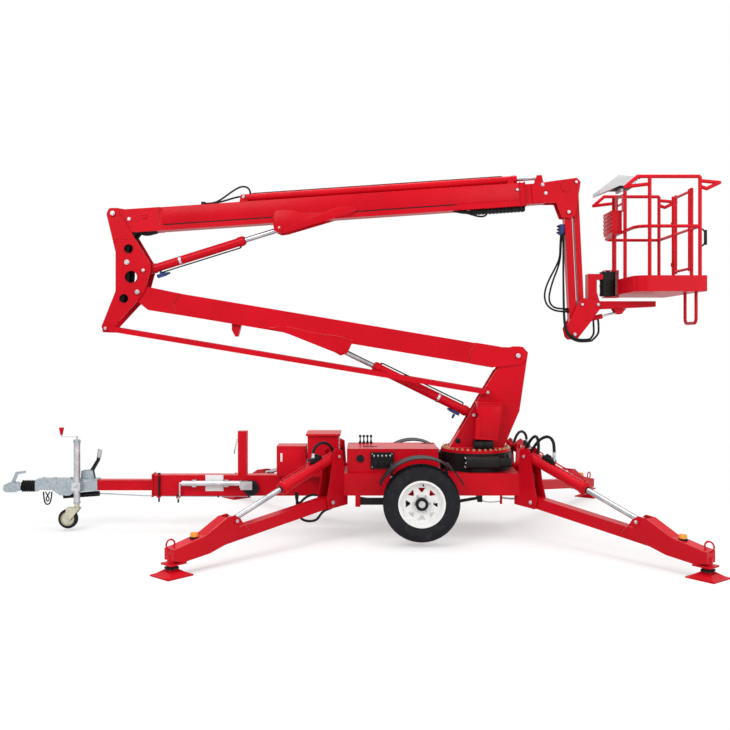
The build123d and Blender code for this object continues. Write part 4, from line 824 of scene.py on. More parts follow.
print("rams dressed")

# slewing ring: bolt circle, seal lip and the worm drive's caps
slewAt = pinOf("turret_slew")
ringSet = {"boltRing": 0.316, "bolts": 36, "top": 0.798}
spots = [((slewAt.x + ringSet["boltRing"] * math.cos(a), ringSet["boltRing"] * math.sin(a), ringSet["top"]),
          (0, 0, 1))
         for a in circleOf(ringSet["bolts"])]
placed("raceBolts", hexHead(0.022, 0.013), spots, "turret", yellowZinc)
lip = turned("lip", [(0.338, 0.764), (0.3445, 0.764), (0.3445, 0.771), (0.338, 0.772)], (slewAt.x, 0, 0),
             sides=96)
piece("ringSeal", [lip], "turret", blackRubber)
wormY, wormZ = -0.351, 0.694
caps = []
for x, radius, face in ((slewAt.x - 0.130, 0.060, -1), (slewAt.x + 0.170, 0.060, 1)):
    caps.append(turned("cap",
                       [(radius + 0.004, -0.016), (radius + 0.004, 0.0), (radius - 0.004, 0.005),
                        (0.030, 0.006)],
                       (x, wormY, wormZ), (face, 0, 0), 32))
piece("wormCaps", caps, "chassis", blackPaint)
spots = [((slewAt.x - 0.136, wormY + 0.048 * math.cos(a), wormZ + 0.048 * math.sin(a)), (-1, 0, 0))
         for a in circleOf(6)]
placed("wormBolts", hexHead(0.014, 0.008, 0.002), spots, "chassis", zincSteel)
fins = [turned("fin", [(0.046, 0.0), (0.050, 0.001), (0.050, 0.007), (0.046, 0.008)],
               (slewAt.x + 0.19 + i * 0.018, wormY, wormZ), (1, 0, 0), 32) for i in range(5)]
ports = [turned("port", [(0.014, 0.040), (0.014, 0.062), (0.010, 0.064), (0.010, 0.080)],
                (slewAt.x + 0.21 + i * 0.045, wormY, wormZ), (0, 0, 1), 6) for i in range(2)]
piece("wormMotor", fins + ports, "chassis", blackPaint)
print("slewing drive dressed")

# turret: plugged holes, seams at the foot, cover panel and lid, motor below the cover
turretSet = {"face": 0.076, "plug": (1.036, 0.866), "plugRadius": 0.026}
plugs = [turned("plug", [(turretSet["plugRadius"], -0.002), (turretSet["plugRadius"], 0.002), (0.020, 0.004)],
                (turretSet["plug"][0], hand * turretSet["face"], turretSet["plug"][1]), (0, hand, 0), 28)
         for hand in (1, -1)]
piece("turretPlugs", plugs, "turret", blackPlastic)
runs = []
for hand in (1, -1):
    for y in (0.0775, 0.0605):
        runs.append(([flatAt(slewAt.x - 0.258, 0.799, hand * y), flatAt(slewAt.x + 0.258, 0.799, hand * y)],
                     False))
    runs.append(([flatAt(slewAt.x - 0.258, 0.800, hand * 0.0765),
                  flatAt(slewAt.x + 0.026, 1.283, hand * 0.0765),
                  flatAt(slewAt.x + 0.188, 1.549, hand * 0.0765)], False))
weldRuns("turretSeams", "turret", runs, 0.005)
low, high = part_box("turret_cover")
panelOutline = [(0.020, 0.926), (0.158, 0.914), (0.214, 1.206), (0.030, 1.206)]
panel = plated("panel", panelOutline, 0.003, (slewAt.x, low.y, 0), (1, 0, 0), (0, 0, 1))
lid = boxed("lid", (slewAt.x - 0.012, low.y - 0.005, high.z - 0.004),
            (slewAt.x + 0.250, high.y, high.z + 0.008), 0.004, 3)
piece("coverPanels", [lid, panel], "turret", redPaint)
motor = boxed("motor", (slewAt.x - 0.040, -0.205, 0.799), (slewAt.x + 0.150, -0.082, 0.876), 0.008, 3)
motorCaps = [turned("cap", [(0.034, -0.004), (0.034, 0.010), (0.028, 0.014)], (slewAt.x + dx, -0.204, 0.838),
                    (0, -1, 0), 28)
             for dx in (0.006, 0.100)]
piece("slewMotor", [motor] + motorCaps, "turret", blackPaint)
print("turret dressed")

# platform: tread floor, console fittings, louvred box, entry grip and slotted end sheet
rotorAt = pinOf("platform_turn")
basketX = rotorAt.x + 0.094
floorZ = pinOf("platform_level").z + 0.100
treadSet = {"from": (0.060, -0.540), "to": (0.575, 0.540), "pitch": 0.035, "bar": (0.026, 0.0045, 0.0018)}


def treadPlate():
    spanX = treadSet["to"][0] - treadSet["from"][0]
    spanY = treadSet["to"][1] - treadSet["from"][1]
    clear()
    corner = Vector((basketX + treadSet["from"][0], treadSet["from"][1], floorZ + 0.0045))
    bpy.ops.mesh.primitive_cube_add(size=1, location=corner, scale=treadSet["bar"])
    bar = bpy.context.object
    bar.rotation_euler.z = math.radians(45)
    settle(bar)
    other = bar.copy()
    other.data = bar.data.copy()
    bpy.context.collection.objects.link(other)
    shift = Matrix.Translation((treadSet["pitch"] / 2, treadSet["pitch"] / 2, 0))
    turn = Matrix.Rotation(math.radians(90), 4, "Z")
    about = Matrix.Translation(corner) @ turn @ Matrix.Translation(-corner)
    other.data.transform(shift @ about)
    pair = joined("treadBars", [bar, other])
    for axis, span in ((0, spanX), (1, spanY)):
        rows = pair.modifiers.new("rows", "ARRAY")
        rows.use_relative_offset = False
        rows.use_constant_offset = True
        rows.constant_offset_displace = [treadSet["pitch"] if i == axis else 0 for i in range(3)]
        rows.count = int(span / treadSet["pitch"])
        grab(pair)
        bpy.ops.object.modifier_apply(modifier="rows")
    return pair


finished(treadPlate(), "platform", redPaint)

low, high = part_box("platform_console")
top = high.z
right = high.x
face = boxed("face", (right - 0.002, -0.118, top - 0.098), (right + 0.006, 0.118, top - 0.022), 0.002)
piece("consoleFace", [face], "platform", blackPlastic)
knobs = [turned("knob", [(0.010, 0), (0.010, 0.008), (0.008, 0.011)], (right + 0.006, y, top - 0.045),
                (1, 0, 0), 20)
         for y in (-0.095, -0.065, -0.035, 0.035, 0.065)]
rockers = [boxed("rocker", (right + 0.004, y - 0.009, top - 0.088), (right + 0.013, y + 0.009, top - 0.066),
                 0.002)
           for y in (-0.095, -0.065, -0.035, -0.005, 0.025, 0.055)]
piece("consoleKeys", knobs + rockers, "platform", greyPlastic)
stop = turned("stop", [(0.012, 0), (0.012, 0.012), (0.021, 0.014), (0.021, 0.022), (0.014, 0.028)],
              (right + 0.006, 0.095, top - 0.050), (1, 0, 0), 28)
piece("stopKnob", [stop], "platform", redPaint)
collar = turned("ring", [(0.026, 0), (0.026, 0.003), (0.022, 0.004)], (right + 0.006, 0.095, top - 0.050),
                (1, 0, 0), 28)
piece("stopRing", [collar], "platform", yellowPlastic)
sticks = []
for y in (-0.080, 0.010):
    foot = Vector((right + 0.004, y, top - 0.030))
    sticks.append(turned("boot", [(0.018, 0), (0.016, 0.006), (0.013, 0.010), (0.014, 0.014), (0.007, 0.020)],
                         foot, (1, 0, 0.2), 24))
    sticks.append(turned("stick",
                         [(0.005, 0.018), (0.005, 0.036), (0.010, 0.040), (0.011, 0.052), (0.007, 0.058)],
                         foot, (1, 0, 0.2), 20))
piece("joySticks", sticks, "platform", blackRubber)
under = boxed("tray", (low.x + 0.110, -0.122, low.z + 0.062), (right - 0.020, 0.122, low.z + 0.080), 0.004)
piece("consoleTray", [under], "platform", blackPlastic)

low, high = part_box("tool_box")
slats = [plated("slat", [(0, 0), (0.272, 0), (0.272, 0.030), (0, 0.030)], 0.004,
                (low.x - 0.004, -0.136, low.z + 0.016 + i * 0.039), (0, 1, 0), (-0.35, 0, 1))
         for i in range(5)]
piece("toolLouvres", slats, "platform", redPaint)
lidLip = boxed("lip", (low.x - 0.006, low.y - 0.006, high.z - 0.006),
               (high.x, high.y + 0.006, high.z + 0.010), 0.003)
piece("toolLid", [lidLip], "platform", redPaint)

# entry: a bent grip on the near corner post
gripSet = {"x": 3.1955, "y": -0.569, "z": (2.700, 2.860), "out": 0.050}
z0, z1 = gripSet["z"]
gripX = gripSet["x"] + gripSet["out"]
bar = [(gripSet["x"], gripSet["y"], z0), (gripX, gripSet["y"], z0), (gripX, gripSet["y"], z1),
       (gripSet["x"], gripSet["y"], z1)]
finished(piped("entryGrip", bar, 0.008), "platform", blackPaint)
sleeve = turned("sleeve", [(0.012, 0.012), (0.014, 0.016), (0.014, 0.144), (0.012, 0.148)],
                (gripX, gripSet["y"], z0), (0, 0, 1), 20)
piece("gripSleeve", [sleeve], "platform", blackRubber)
# slotted sheet between the end posts, over the louvred box
sheetSet = {"x": 2.6155, "low": 3.082, "high": 3.252, "half": 0.178}
strips = []
for y0, y1, z0, z1 in ((-sheetSet["half"], -0.090, sheetSet["low"], sheetSet["high"]),
                       (0.054, sheetSet["half"], sheetSet["low"], sheetSet["high"]),
                       (-0.092, 0.056, 3.150, 3.172), (-0.092, 0.056, 3.226, sheetSet["high"])):
    strips.append(boxed("strip", (sheetSet["x"], y0, z0), (sheetSet["x"] + 0.008, y1, z1), 0.001))
piece("endSheet", strips, "platform", redPaint)
print("platform dressed")

# rotator: flanges, bolts and hose ports
rotorLow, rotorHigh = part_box("platform_rotator")
rotorMid = Vector((rotorAt.x, 0, 0))
flanges = []
for z in (rotorLow.z + 0.002, rotorLow.z + 0.088, rotorLow.z + 0.150, rotorHigh.z - 0.024):
    flanges.append(turned("flange",
                          [(0.0735, z), (0.0775, z + 0.001), (0.0775, z + 0.021), (0.0735, z + 0.022)],
                          rotorMid, sides=40))
ports = [turned("port", [(0.013, 0.072), (0.013, 0.088), (0.010, 0.090), (0.010, 0.102)],
                (rotorAt.x, 0, z), (-0.35, -1, 0), 6) for z in (rotorLow.z + 0.060, rotorLow.z + 0.125)]
piece("rotorFlanges", flanges + ports, "carrier", blackPaint)
rotorSet = {"bolts": 8, "boltRing": 0.064, "turn": 0.2}
spots = []
for a in circleOf(rotorSet["bolts"]):
    over = Vector((math.cos(a + rotorSet["turn"]), math.sin(a + rotorSet["turn"]), 0)) * rotorSet["boltRing"]
    spots.append((rotorMid + over + Vector((0, 0, rotorHigh.z - 0.002)), (0, 0, 1)))
placed("rotorBolts", hexHead(0.012, 0.006, 0.001), spots, "carrier", zincSteel)
print("rotator dressed")

# control box: gauge window, socket panel, top slots, lever boots
low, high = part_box("control_box")
gauge = Vector((0.090, low.y, 0.729))
bezel = turned("bezel", [(0.043, -0.001), (0.043, 0.004), (0.038, 0.006), (0.036, 0.002)], gauge, (0, -1, 0),
               36)
piece("gaugeBezel", [bezel], "chassis", redPaint)
glass = turned("glass", [(0.0375, 0.0), (0.0375, 0.0025), (0.030, 0.0035)], gauge, (0, -1, 0), 36)
piece("gaugeGlass", [glass], "chassis", blackPlastic)
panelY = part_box("controls")[0].y
panelX0, panelX1 = low.x + 0.226, low.x + 0.436
frameRail = [piped("rim", [(panelX0, panelY, 0.640), (panelX1, panelY, 0.640), (panelX1, panelY, 0.786),
                           (panelX0, panelY, 0.786)], 0.006, bends=False, closed=True)]
piece("panelRim", frameRail, "chassis", blackPlastic)
switches = [turned("switch", [(0.009, 0), (0.009, 0.004), (0.004, 0.006), (0.0035, 0.022), (0.005, 0.026)],
                   (panelX0 + 0.030 + i * 0.038, panelY, 0.760), (0, -1, -0.25), 16) for i in range(5)]
screws = [turned("screw", [(0.005, 0), (0.005, 0.003), (0.003, 0.004)], (x, panelY, z), (0, -1, 0), 12)
          for x in (panelX0 + 0.012, panelX1 - 0.012) for z in (0.652, 0.774)]
piece("panelSwitches", switches + screws, "chassis", zincSteel)
covers = [boxed("cover", (panelX0 + 0.022 + i * 0.058, panelY - 0.010, 0.660),
                (panelX0 + 0.068 + i * 0.058, panelY + 0.002, 0.712), 0.004) for i in range(3)]
piece("socketCovers", covers, "chassis", blackPlastic)
slots = [boxed("slot", (0.115, -0.150, high.z - 0.004), (0.250, -0.104, high.z + 0.0025), 0.001),
         boxed("slot", (0.694, 0.120, high.z - 0.004), (0.816, 0.160, high.z + 0.0025), 0.001)]
piece("deckSlots", slots, "chassis", blackPlastic)
boots = []
for i in range(4):
    x = low.x + 0.122 + i * 0.036
    boots.append(turned("boot", [(0.017, 0), (0.016, 0.008), (0.011, 0.012), (0.012, 0.017), (0.007, 0.026)],
                        (x, high.y - 0.030, high.z), (0, 0, 1), 20))
piece("leverBoots", boots, "chassis", blackRubber)
edges = [piped("edge", [(low.x, y, high.z - 0.001), (high.x, y, high.z - 0.001)], 0.0035, bends=False)
         for y in (low.y + 0.001, high.y - 0.001)]
seam = [piped("seam", [(low.x + 0.46, low.y - 0.0005, 0.604), (low.x + 0.46, low.y - 0.0005, high.z)], 0.002,
              bends=False)]
piece("controlEdges", edges + seam, "chassis", redPaint)

# small box: door, latch; power box: hinges, catches, lid skirt
low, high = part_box("battery_box")
door = boxed("door", (low.x + 0.016, low.y - 0.003, low.z + 0.02),
             (high.x - 0.016, low.y + 0.004, high.z - 0.040), 0.002)
piece("smallDoor", [door], "chassis", redPaint)
latch = boxed("latch", (-0.680, low.y - 0.008, 0.672), (-0.660, low.y - 0.002, 0.754), 0.003, 3)
piece("smallLatch", [latch], "chassis", whitePaint)
low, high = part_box("power_box")
lidLow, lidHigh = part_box("power_lid")
hinges = [turned("hinge", [(0.008, -0.03), (0.008, 0.03)], (x, high.y + 0.008, high.z - 0.006), (1, 0, 0), 16)
          for x in (low.x + 0.06, high.x - 0.06)]
catches = [boxed("catch", (high.x - 0.002, low.y + 0.012, high.z - drop - 0.024),
                 (high.x + 0.010, low.y + 0.036, high.z - drop), 0.003)
           for drop in (0.020, 0.062, 0.104, 0.146)]
piece("powerCatches", hinges + catches, "chassis", zincSteel)
skirt = boxed("skirt", (lidLow.x - 0.002, lidLow.y - 0.002, lidLow.z - 0.0002),
              (lidHigh.x + 0.002, lidHigh.y + 0.002, lidLow.z + 0.012), 0.003, 3)
piece("lidSkirt", [skirt], "power_lid", redPaint)
print("boxes dressed")

# drawbar: collar pins with their lugs, a blank plate and the brake rod along the underside
barSet = {"side": -0.078, "face": -0.060, "pins": ((-1.861, 0.275, 0.556), (-1.675, 0.268, 0.345)),
          "radius": 0.009, "plate": (-1.415, -1.241, 0.378, 0.534), "rod": 0.006}
bolts, lugs = [], []
for x, z0, z1 in barSet["pins"]:
    r = barSet["radius"]
    bolts.append(turned("pin",
                        [(r * 0.7, 0), (r, 0.006), (r, z1 - z0 - 0.012), (r * 1.8, z1 - z0 - 0.010),
                         (r * 1.8, z1 - z0)],
                        (x, barSet["side"], z0), (0, 0, 1), 20))
    for z in (z0 + 0.052, z1 - 0.022):
        lugs.append(boxed("lug", (x - 0.018, barSet["side"] - 0.018, z - 0.008),
                          (x + 0.018, barSet["face"] + 0.004, z + 0.008), 0.003))
piece("collarPins", bolts, "chassis", blackPaint)
piece("collarLugs", lugs, "chassis", redPaint)
x0, x1, z0, z1 = barSet["plate"]
plate = boxed("plate", (x0, barSet["face"] - 0.0025, z0), (x1, barSet["face"] + 0.001, z1), 0.001)
piece("blankPlate", [plate], "chassis", whitePaint)
rivets = [((x, barSet["face"] - 0.0025, z), (0, -1, 0))
          for x in (x0 + 0.012, x1 - 0.012) for z in (z0 + 0.012, z1 - 0.012)]
rivet = turned("rivet", [(0.005, 0), (0.0045, 0.002), (0.002, 0.003)], sides=12)
placed("plateRivets", rivet, rivets, "chassis", zincSteel)
rod = [(-2.462, 0, 0.344), (-2.20, 0, 0.332), (-1.95, 0, 0.318), (-0.99, 0, 0.318)]
finished(piped("brakeRod", rod, barSet["rod"]), "chassis", galvanisedSteel)
hangers = [boxed("hanger", (x - 0.006, -0.012, 0.306), (x + 0.006, 0.012, 0.344), 0.002)
           for x in (-1.70, -1.30, -1.0)]
piece("rodHangers", hangers, "chassis", blackPaint)
# keeper chain on the boom-rest post
chainSet = {"top": (-1.104, 0.0, 0.905), "links": 7, "wire": 0.0032, "long": 0.013,
            "step": (-0.0055, 0, -0.0205)}
links = []
for i in range(chainSet["links"]):
    mid = Vector(chainSet["top"]) + Vector(chainSet["step"]) * i
    wide = Vector((0, 0.007, 0)) if i % 2 else Vector((0.007, 0, 0))
    ring = [mid + wide * math.cos(a) + Vector((0, 0, chainSet["long"])) * math.sin(a)
            for a in circleOf(10)]
    links.append(piped("link", ring, chainSet["wire"], closed=True, sides=1, fine=3))
end = Vector(chainSet["top"]) + Vector(chainSet["step"]) * chainSet["links"]
links.append(turned("keeper", [(0.006, 0.012), (0.008, 0.010), (0.008, -0.026), (0.005, -0.030)], end,
                    (0, 0, 1), 16))
piece("restChain", links, "chassis", zincSteel)
print("drawbar dressed")

# coupling: wire bail, bolts, housing ridge, lever grip; nose-wheel post: knob and rings
noseX, noseY = -2.6506, -0.094
wireBail = [(-2.985, -0.066, 0.372), (-2.980, -0.068, 0.310), (-2.968, -0.070, 0.262),
            (-2.944, -0.070, 0.247), (-2.920, -0.070, 0.262), (-2.908, -0.068, 0.310),
            (-2.903, -0.066, 0.372)]
inner = [(-2.966, -0.066, 0.372), (-2.940, -0.068, 0.330), (-2.926, -0.068, 0.300), (-2.944, -0.068, 0.276),
         (-2.962, -0.068, 0.300), (-2.948, -0.068, 0.330), (-2.922, -0.066, 0.372)]
piece("couplingBail", [piped("bail", wireBail, 0.007), piped("bail", inner, 0.006)], "chassis",
      blackPaint)
spots = [((-2.937, -0.060, 0.439), (0, -1, 0)), ((-2.937, 0.060, 0.439), (0, 1, 0))]
spots += [((x, 0, 0.492), (0, 0, 1)) for x in (-3.005, -2.889, -2.734)]
placed("couplingBolts", hexHead(0.022, 0.011), spots, "chassis", zincSteel)
ridges = [piped("ridge", [(-3.060, hand * 0.0615, 0.474), (-2.500, hand * 0.0615, 0.474)], 0.004, bends=False)
          for hand in (1, -1)]
piece("couplingRidges", ridges, "chassis", galvanisedSteel)
gripAt = Vector((-2.4655, 0, 0.700))
sleeve = turned("grip", [(0.018, -0.004), (0.0205, 0), (0.0205, 0.064), (0.018, 0.074), (0.012, 0.0765)],
                gripAt, (0.165, 0, 1), 24)
piece("brakeGrip", [sleeve], "chassis", greyPlastic)
knob = turned("knob", [(0.009, 0.0), (0.013, 0.012), (0.022, 0.056), (0.024, 0.066), (0.020, 0.073)],
              (noseX - 0.150, noseY, 0.925), (0, 0, 1), 28)
piece("crankKnob", [knob], "chassis", redPaint)
rings = [turned("ring", [(0.0305, z - 0.004), (0.0345, z - 0.003), (0.0345, z + h), (0.0305, z + h + 0.001)],
                (noseX, noseY, 0), (0, 0, 1), 36) for z, h in ((0.850, 0.024), (0.268, 0.012))]
clamp = turned("clampScrew", [(0.009, 0), (0.009, 0.028), (0.006, 0.030)], (noseX, noseY - 0.040, 0.432),
               (0, -1, 0), 16)
piece("postRings", rings + [clamp], "chassis", galvanisedSteel)
frame["nodes"]["jockey_fork"].material_slots[0].material = paleZinc
frame["nodes"]["level_barrel"].material_slots[0].material = redPaint
print("coupling dressed")

# small wheels: a round black tyre on a dished rim
# small wheel columns: node, body, centre, radius, half width
smallTable = [
    ("jockey_wheel", "jockey_wheel", (-2.7346, -0.094, 0.118), 0.094, 0.030),
    ("spare_wheel", "spare_wheel", (-0.9676, -0.098, 0.413), 0.076, 0.021),
]
smallTyre = [(0.62, 0.40), (0.67, 0.90), (0.83, 1.0), (0.95, 0.83), (1.0, 0.40)]
smallRim = [(0.62, 0.0), (0.69, 0.50), (0.69, 0.96), (0.64, 1.0), (0.58, 0.66), (0.32, 0.56), (0.26, 0.90),
            (0.13, 0.96)]
for node, body, centre, radius, half in smallTable:
    steps = [(r * radius, -h * half) for r, h in smallTyre]
    steps += [(r * radius, h * half) for r, h in reversed(smallTyre)]
    tyre = turned("tyre", steps, centre, (0, 1, 0), 56)
    piece(node + "Tyre", [tyre], body, tyreRubber, 40)
    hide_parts(node)
    sides = [turned("rim", [(r * radius, h * half) for r, h in smallRim], centre, (0, hand, 0), 48)
             for hand in (1, -1)]
    piece(node + "Rim", sides, body, paleZinc if node == "jockey_wheel" else blackPlastic, 40)
print("small wheels on")

# mudguards: rolled lips, bracket bolts; springs: U-bolts over the axle, hangers and bands
guardSet = {"radius": 0.407, "from": 24, "to": 156, "sides": (0.8675, 0.6275), "lip": 0.005}
lips = []
for hand in (1, -1):
    for y in guardSet["sides"]:
        turns = [math.radians(guardSet["from"] + (guardSet["to"] - guardSet["from"]) * i / 24)
                 for i in range(25)]
        lips.append(piped("lip",
                          [(axle.x + guardSet["radius"] * math.cos(a), hand * y,
                            axle.z + guardSet["radius"] * math.sin(a))
                           for a in turns], guardSet["lip"]))
piece("guardLips", lips, "chassis", blackPlastic)
spots = [((x, hand * 0.408, 0.560), (0, hand, 0)) for x in (0.382, 0.894) for hand in (1, -1)]
placed("guardBolts", hexHead(0.022, 0.010), spots, "chassis", zincSteel)
loops = []
for hand in (1, -1):
    for dx in (-0.060, 0.060):
        x = axle.x + dx
        near, far = hand * 0.324, hand * 0.396
        loops.append(piped("loop",
                           [(x, near, 0.368), (x, near, 0.272), (x, (near + far) / 2, 0.258), (x, far, 0.272),
                            (x, far, 0.368)], 0.006))
piece("springLoops", loops, "chassis", zincSteel)
hangerSet = {"front": 0.044, "back": 0.092, "low": 0.286, "top": 0.394, "y": 0.360, "half": 0.040,
             "band": 0.026}
hangers, bands = [], []
for hand in (1, -1):
    y = hand * hangerSet["y"]
    hangers.append(boxed("hanger", (hangerSet["front"], y - hangerSet["half"], hangerSet["low"]),
                         (hangerSet["back"], y + hangerSet["half"], hangerSet["top"]), 0.003))
    bands.append(boxed("band", (hangerSet["back"] - 0.004, y - hangerSet["band"], 0.302),
                       (0.470, y + hangerSet["band"], 0.362), 0.004))
piece("springHangers", hangers, "chassis", redPaint)
piece("springBands", bands, "chassis", blackPaint)
print("running gear dressed")

# hose carrier under the boom's end: linked plates in the carrier's own outline
carrierSet = {"from": 3.460, "to": 3.990, "links": 15, "top": -0.1925, "low": -0.2385, "half": 0.038}
pitch = (carrierSet["to"] - carrierSet["from"]) / carrierSet["links"]
height = carrierSet["top"] - carrierSet["low"]
links = []
for i in range(carrierSet["links"]):
    start = upperAt(carrierSet["from"] + i * pitch, carrierSet["low"], carrierSet["half"])
    shape = [(0.001, 0.008), (0.006, 0.0), (pitch - 0.006, 0.0), (pitch - 0.001, 0.008),
             (pitch - 0.001, height), (0.001, height)]
    links.append(plated("link", shape, 2 * carrierSet["half"], start, upperAlong, upperUp, 0.002))
    for hand in (1, -1):
        links.append(turned("stud", [(0.011, -0.002), (0.011, 0.003), (0.008, 0.0045)],
                            upperAt(carrierSet["from"] + (i + 0.5) * pitch, carrierSet["low"] + height * 0.5,
                                    hand * carrierSet["half"]), (0, hand, 0), 12))
hoseCarrier = piece("hoseCarrier", links, "upper_boom", blackPlastic)
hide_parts("hose_tray")

# extension ram: pipe with clips, front ring; hoses from the boom's top to the ram's foot
feedSet = {"v": 0.119, "from": 1.33, "to": 3.80, "radius": 0.005, "centre": 0.0785, "ram": 0.037,
           "clips": (1.75, 2.45, 3.15)}
line = [upperAt(feedSet["from"], feedSet["centre"] + 0.030, 0),
        upperAt(feedSet["from"] + 0.01, feedSet["v"], 0),
        upperAt(feedSet["from"] + 0.06, feedSet["v"], 0), upperAt(feedSet["to"] - 0.06, feedSet["v"], 0),
        upperAt(feedSet["to"] - 0.01, feedSet["v"], 0), upperAt(feedSet["to"], feedSet["centre"] + 0.030, 0)]
finished(piped("extendPipe", line, feedSet["radius"]), "upper_boom", blackPaint)
ramRadius = feedSet["ram"]
bandShape = [(ramRadius - 0.001, -0.010), (ramRadius + 0.003, -0.009), (ramRadius + 0.003, 0.009),
             (ramRadius - 0.001, 0.010)]
bands = [turned("band", bandShape, upperAt(u, feedSet["centre"], 0), upperAlong, 32)
         for u in feedSet["clips"]]
bands += [boxed("saddle", upperAt(u, feedSet["centre"] + 0.034, 0) - Vector((0.008, 0.010, 0)),
                upperAt(u, feedSet["v"] + 0.004, 0) + Vector((0.008, 0.010, 0)), 0.002)
          for u in feedSet["clips"]]
ringShape = [(ramRadius, -0.050), (ramRadius + 0.004, -0.048), (ramRadius + 0.004, -0.008),
             (ramRadius, -0.004)]
ringFront = turned("front", ringShape, upperAt(3.93, feedSet["centre"], 0), upperAlong, 36)
piece("extendBands", bands + [ringFront], "upper_boom", redPaint)
brightRod = turned("rod", [(0.0170, 0), (0.0186, 0.001), (0.0186, 2.172), (0.0170, 2.174)],
                   upperAt(1.950, feedSet["centre"], 0), upperAlong, 32)
piece("extendRod", [brightRod], "telescope", chromeRod)
spots = [(upperAt(1.260, 0.084, hand * 0.040), (0, hand, 0)) for hand in (1, -1)]
placed("extendPin", pinHead(0.020), spots, "upper_boom", zincSteel)
extendHoses = [
    [(-1.432, 0, 3.176), (-1.342, 0, 3.180), (-1.264, 0, 3.222), (-1.166, 0, 3.296), (-1.088, 0, 3.342),
     (-1.030, 0, 3.345), (-0.990, 0, 3.314), (-0.984, 0, 3.268)],
    [(-1.432, -0.022, 3.174), (-1.342, -0.022, 3.177), (-1.244, -0.020, 3.198), (-1.127, -0.012, 3.237),
     (-1.062, -0.010, 3.246), (-1.022, -0.008, 3.240)],
]
piece("extendHoses", [piped("hose", run, hoseSet["extend"]) for run in extendHoses], "upper_boom",
      blackRubber)
gland = boxed("gland", (-1.462, -0.040, 3.148), (-1.420, 0.020, 3.192), 0.006, 3)
stub = turned("stub", [(0.011, -0.010), (0.013, 0), (0.013, 0.016), (0.010, 0.018)], (-0.984, 0, 3.262),
              (0, 0, 1), 6)
piece("extendFittings", [gland, stub], "upper_boom", blackPaint)
bundleRoute = [(3.280, -0.176), (3.330, -0.190), (3.390, -0.204), (3.450, -0.212), (3.500, -0.214)]
bundleLoop = [(3.290, -0.186), (3.360, -0.208), (3.450, -0.232), (3.520, -0.262), (3.585, -0.268),
              (3.615, -0.240), (3.590, -0.214), (3.560, -0.206)]
bundle = []
for y, drop in ((-0.030, 0.0), (-0.012, 0.006), (0.008, -0.004), (0.026, 0.004)):
    bundle.append(piped("hose", [upperAt(u, v - drop, y) for u, v in bundleRoute], hoseSet["bundle"]))
bundle.append(piped("loop", [upperAt(u, v, -0.046) for u, v in bundleLoop], hoseSet["bundleLoop"]))
piece("channelHoses", bundle, "upper_boom", blackRubber)
print("extension ram dressed")

# jib: valve on the arm's left face, looping hoses, long hoses round the foot to the levelling ram
valveBlock = boxed("valve", jibAt(0.210, -0.088, -0.030), jibAt(0.110, -0.026, 0.030), 0.004)
piece("jibValve", [valveBlock], "jib_arm", blueAnodised)
plugs = [turned("plug", [(0.012, -0.004), (0.012, 0.012), (0.008, 0.014), (0.008, 0.022)],
                jibAt(u, -0.086, y), (-1, 0, 0.1), 8)
         for u, y in ((0.128, -0.012), (0.160, -0.014), (0.188, 0.012))]
piece("jibPlugs", plugs, "jib_arm", blackPaint)
loopRoute = [(2.046, 2.884), (2.038, 2.770), (2.036, 2.644), (1.990, 2.545), (1.938, 2.450), (1.892, 2.340),
             (1.884, 2.250), (1.912, 2.180), (1.964, 2.140), (2.030, 2.122), (2.130, 2.120)]
innerRoute = [(2.058, 2.884), (2.052, 2.770), (2.048, 2.650), (2.020, 2.540), (1.982, 2.450), (1.950, 2.345),
              (1.934, 2.262), (1.944, 2.205), (1.978, 2.166), (2.036, 2.150), (2.130, 2.148)]
hoses = [piped("hose", [(x, y, z) for x, z in route], hoseSet["jib"])
         for route, y in ((loopRoute, -0.016), (innerRoute, 0.012))]
piece("jibLoops", hoses, "jib_arm", blackRubber)
ports = [turned("port", [(0.016, -0.006), (0.016, 0.018), (0.012, 0.020), (0.012, 0.030)], (2.124, y, z),
                (-1, 0, 0), 8)
         for y, z in ((-0.016, 2.122), (0.012, 2.144))]
piece("jibPorts", ports, "jib_arm", blackPaint)
# route columns: distance ahead, across, height
longRoute = [(2.066, -0.030, 2.886), (2.066, -0.034, 2.760), (2.064, -0.040, 2.600), (2.060, -0.060, 2.430),
             (2.056, -0.085, 2.270), (2.054, -0.102, 2.120), (2.060, -0.106, 1.985), (2.084, -0.106, 1.898),
             (2.146, -0.106, 1.844), (2.232, -0.100, 1.824), (2.330, -0.070, 1.836), (2.398, -0.035, 1.884),
             (2.420, -0.010, 1.950), (2.412, 0.0, 2.048)]
shortRoute = [(2.068, -0.006, 2.886), (2.070, -0.014, 2.760), (2.068, -0.028, 2.600), (2.062, -0.050, 2.430),
              (2.060, -0.078, 2.270), (2.058, -0.100, 2.120), (2.066, -0.106, 1.992), (2.092, -0.106, 1.910),
              (2.150, -0.106, 1.860), (2.232, -0.098, 1.842), (2.318, -0.064, 1.852), (2.362, -0.030, 1.890),
              (2.370, -0.006, 1.950), (2.366, 0.0, 2.036)]
for label, route in (("levelHoseNear", longRoute), ("levelHoseFar", shortRoute)):
    bridged(piped(label, route[:11], hoseSet["level"]), route[5])
    bridged(piped(label + "End", route[10:], hoseSet["level"]), route[10])
print("jib hoses hung")

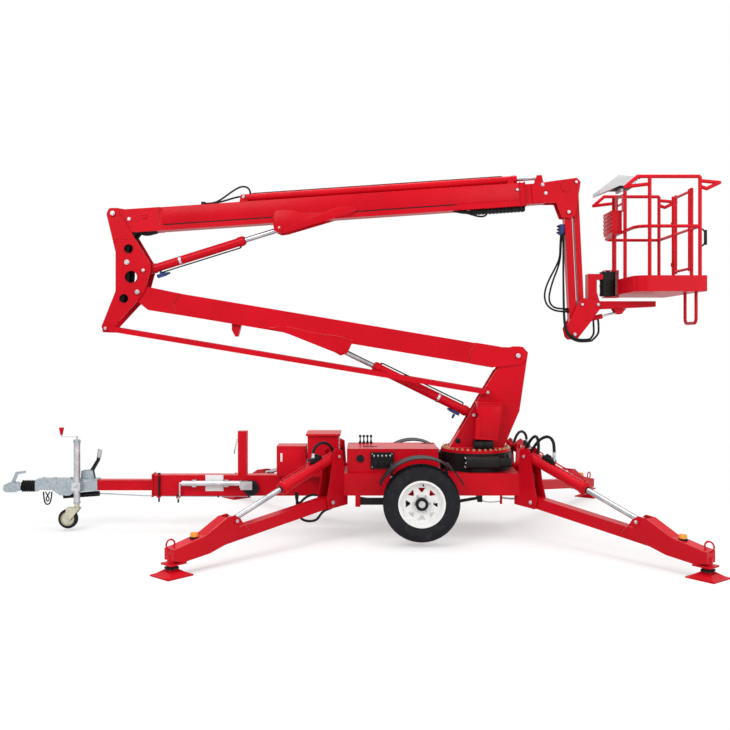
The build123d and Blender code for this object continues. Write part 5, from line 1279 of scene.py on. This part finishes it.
# hoses: over to each leg's valve block, loops below the front of the frame, brake cables
# route columns: distance out from the ram's foot, height above it
lowRoute = [(-0.050, -0.040), (-0.010, 0.040), (0.070, 0.125), (0.165, 0.140), (0.240, 0.105), (0.266, 0.060),
            (0.266, 0.030)]
highRoute = [(-0.020, -0.010), (0.050, 0.080), (0.140, 0.175), (0.235, 0.205), (0.290, 0.165), (0.300, 0.100),
             (0.300, 0.050)]
backRoute = [(-0.070, 0.010), (-0.020, 0.100), (0.050, 0.185), (0.100, 0.190), (0.120, 0.110), (0.110, 0.030)]
for name, angle in legTable:
    out = outward(angle)
    ramFoot = pinOf("leg_barrel_swing_" + name)
    high = name == "rear_near"
    routes = [("over", highRoute), ("back", backRoute)] if high else [("over", lowRoute)]
    for label, route in routes:
        points = [ramFoot + out * u + Vector((0, 0, v)) for u, v in route]
        bridged(piped(label + "Hose_" + name, points, hoseSet["leg"]),
                ramFoot + out * route[0][0])
    nozzle = turned("nozzle",
                    [(0.012, -0.012), (0.012, 0.030), (0.016, 0.032), (0.016, 0.046), (0.0145, 0.050),
                     (0.0145, 0.074)],
                    ramFoot + out * routes[0][1][-1][0] + Vector((0, 0, -0.010 if high else -0.025)),
                    (0, 0, 1), 12)
    piece("nozzle_" + name, [nozzle], "leg_barrel_" + name, zincSteel)
# loops below the front of the frame, columns: distance ahead, height
lowLoop = [(-0.500, 0.395), (-0.514, 0.300), (-0.500, 0.195), (-0.455, 0.142), (-0.389, 0.128),
           (-0.320, 0.142), (-0.280, 0.205), (-0.237, 0.240), (-0.187, 0.252), (-0.127, 0.305),
           (-0.076, 0.363), (-0.060, 0.400)]
highLoop = [(-0.520, 0.400), (-0.520, 0.330), (-0.490, 0.285), (-0.440, 0.345), (-0.370, 0.380),
            (-0.300, 0.368), (-0.240, 0.400)]
loops = [piped("loop", [(x, y, z) for x, z in route], hoseSet["under"])
         for route, y in ((lowLoop, -0.290), (highLoop, -0.262))]
piece("underLoops", loops, "chassis", blackRubber)
cableSet = {"y": -0.300, "radius": 0.0045}
cables = [[(1.165, 0.392), (1.205, 0.345), (1.262, 0.318), (1.330, 0.310), (1.412, 0.322)],
          [(1.424, 0.362), (1.500, 0.348), (1.580, 0.352), (1.660, 0.394)],
          [(1.424, 0.350), (1.520, 0.334), (1.600, 0.362), (1.625, 0.394)]]
piece("brakeCables",
      [piped("cable", [(x, cableSet["y"], z) for x, z in run], cableSet["radius"]) for run in cables],
      "chassis", greyPlastic)
lug = boxed("lug", (1.408, cableSet["y"] - 0.012, 0.296), (1.428, cableSet["y"] + 0.012, 0.394), 0.003)
piece("cableLug", [lug], "chassis", redPaint)
print("outrigger hoses on")
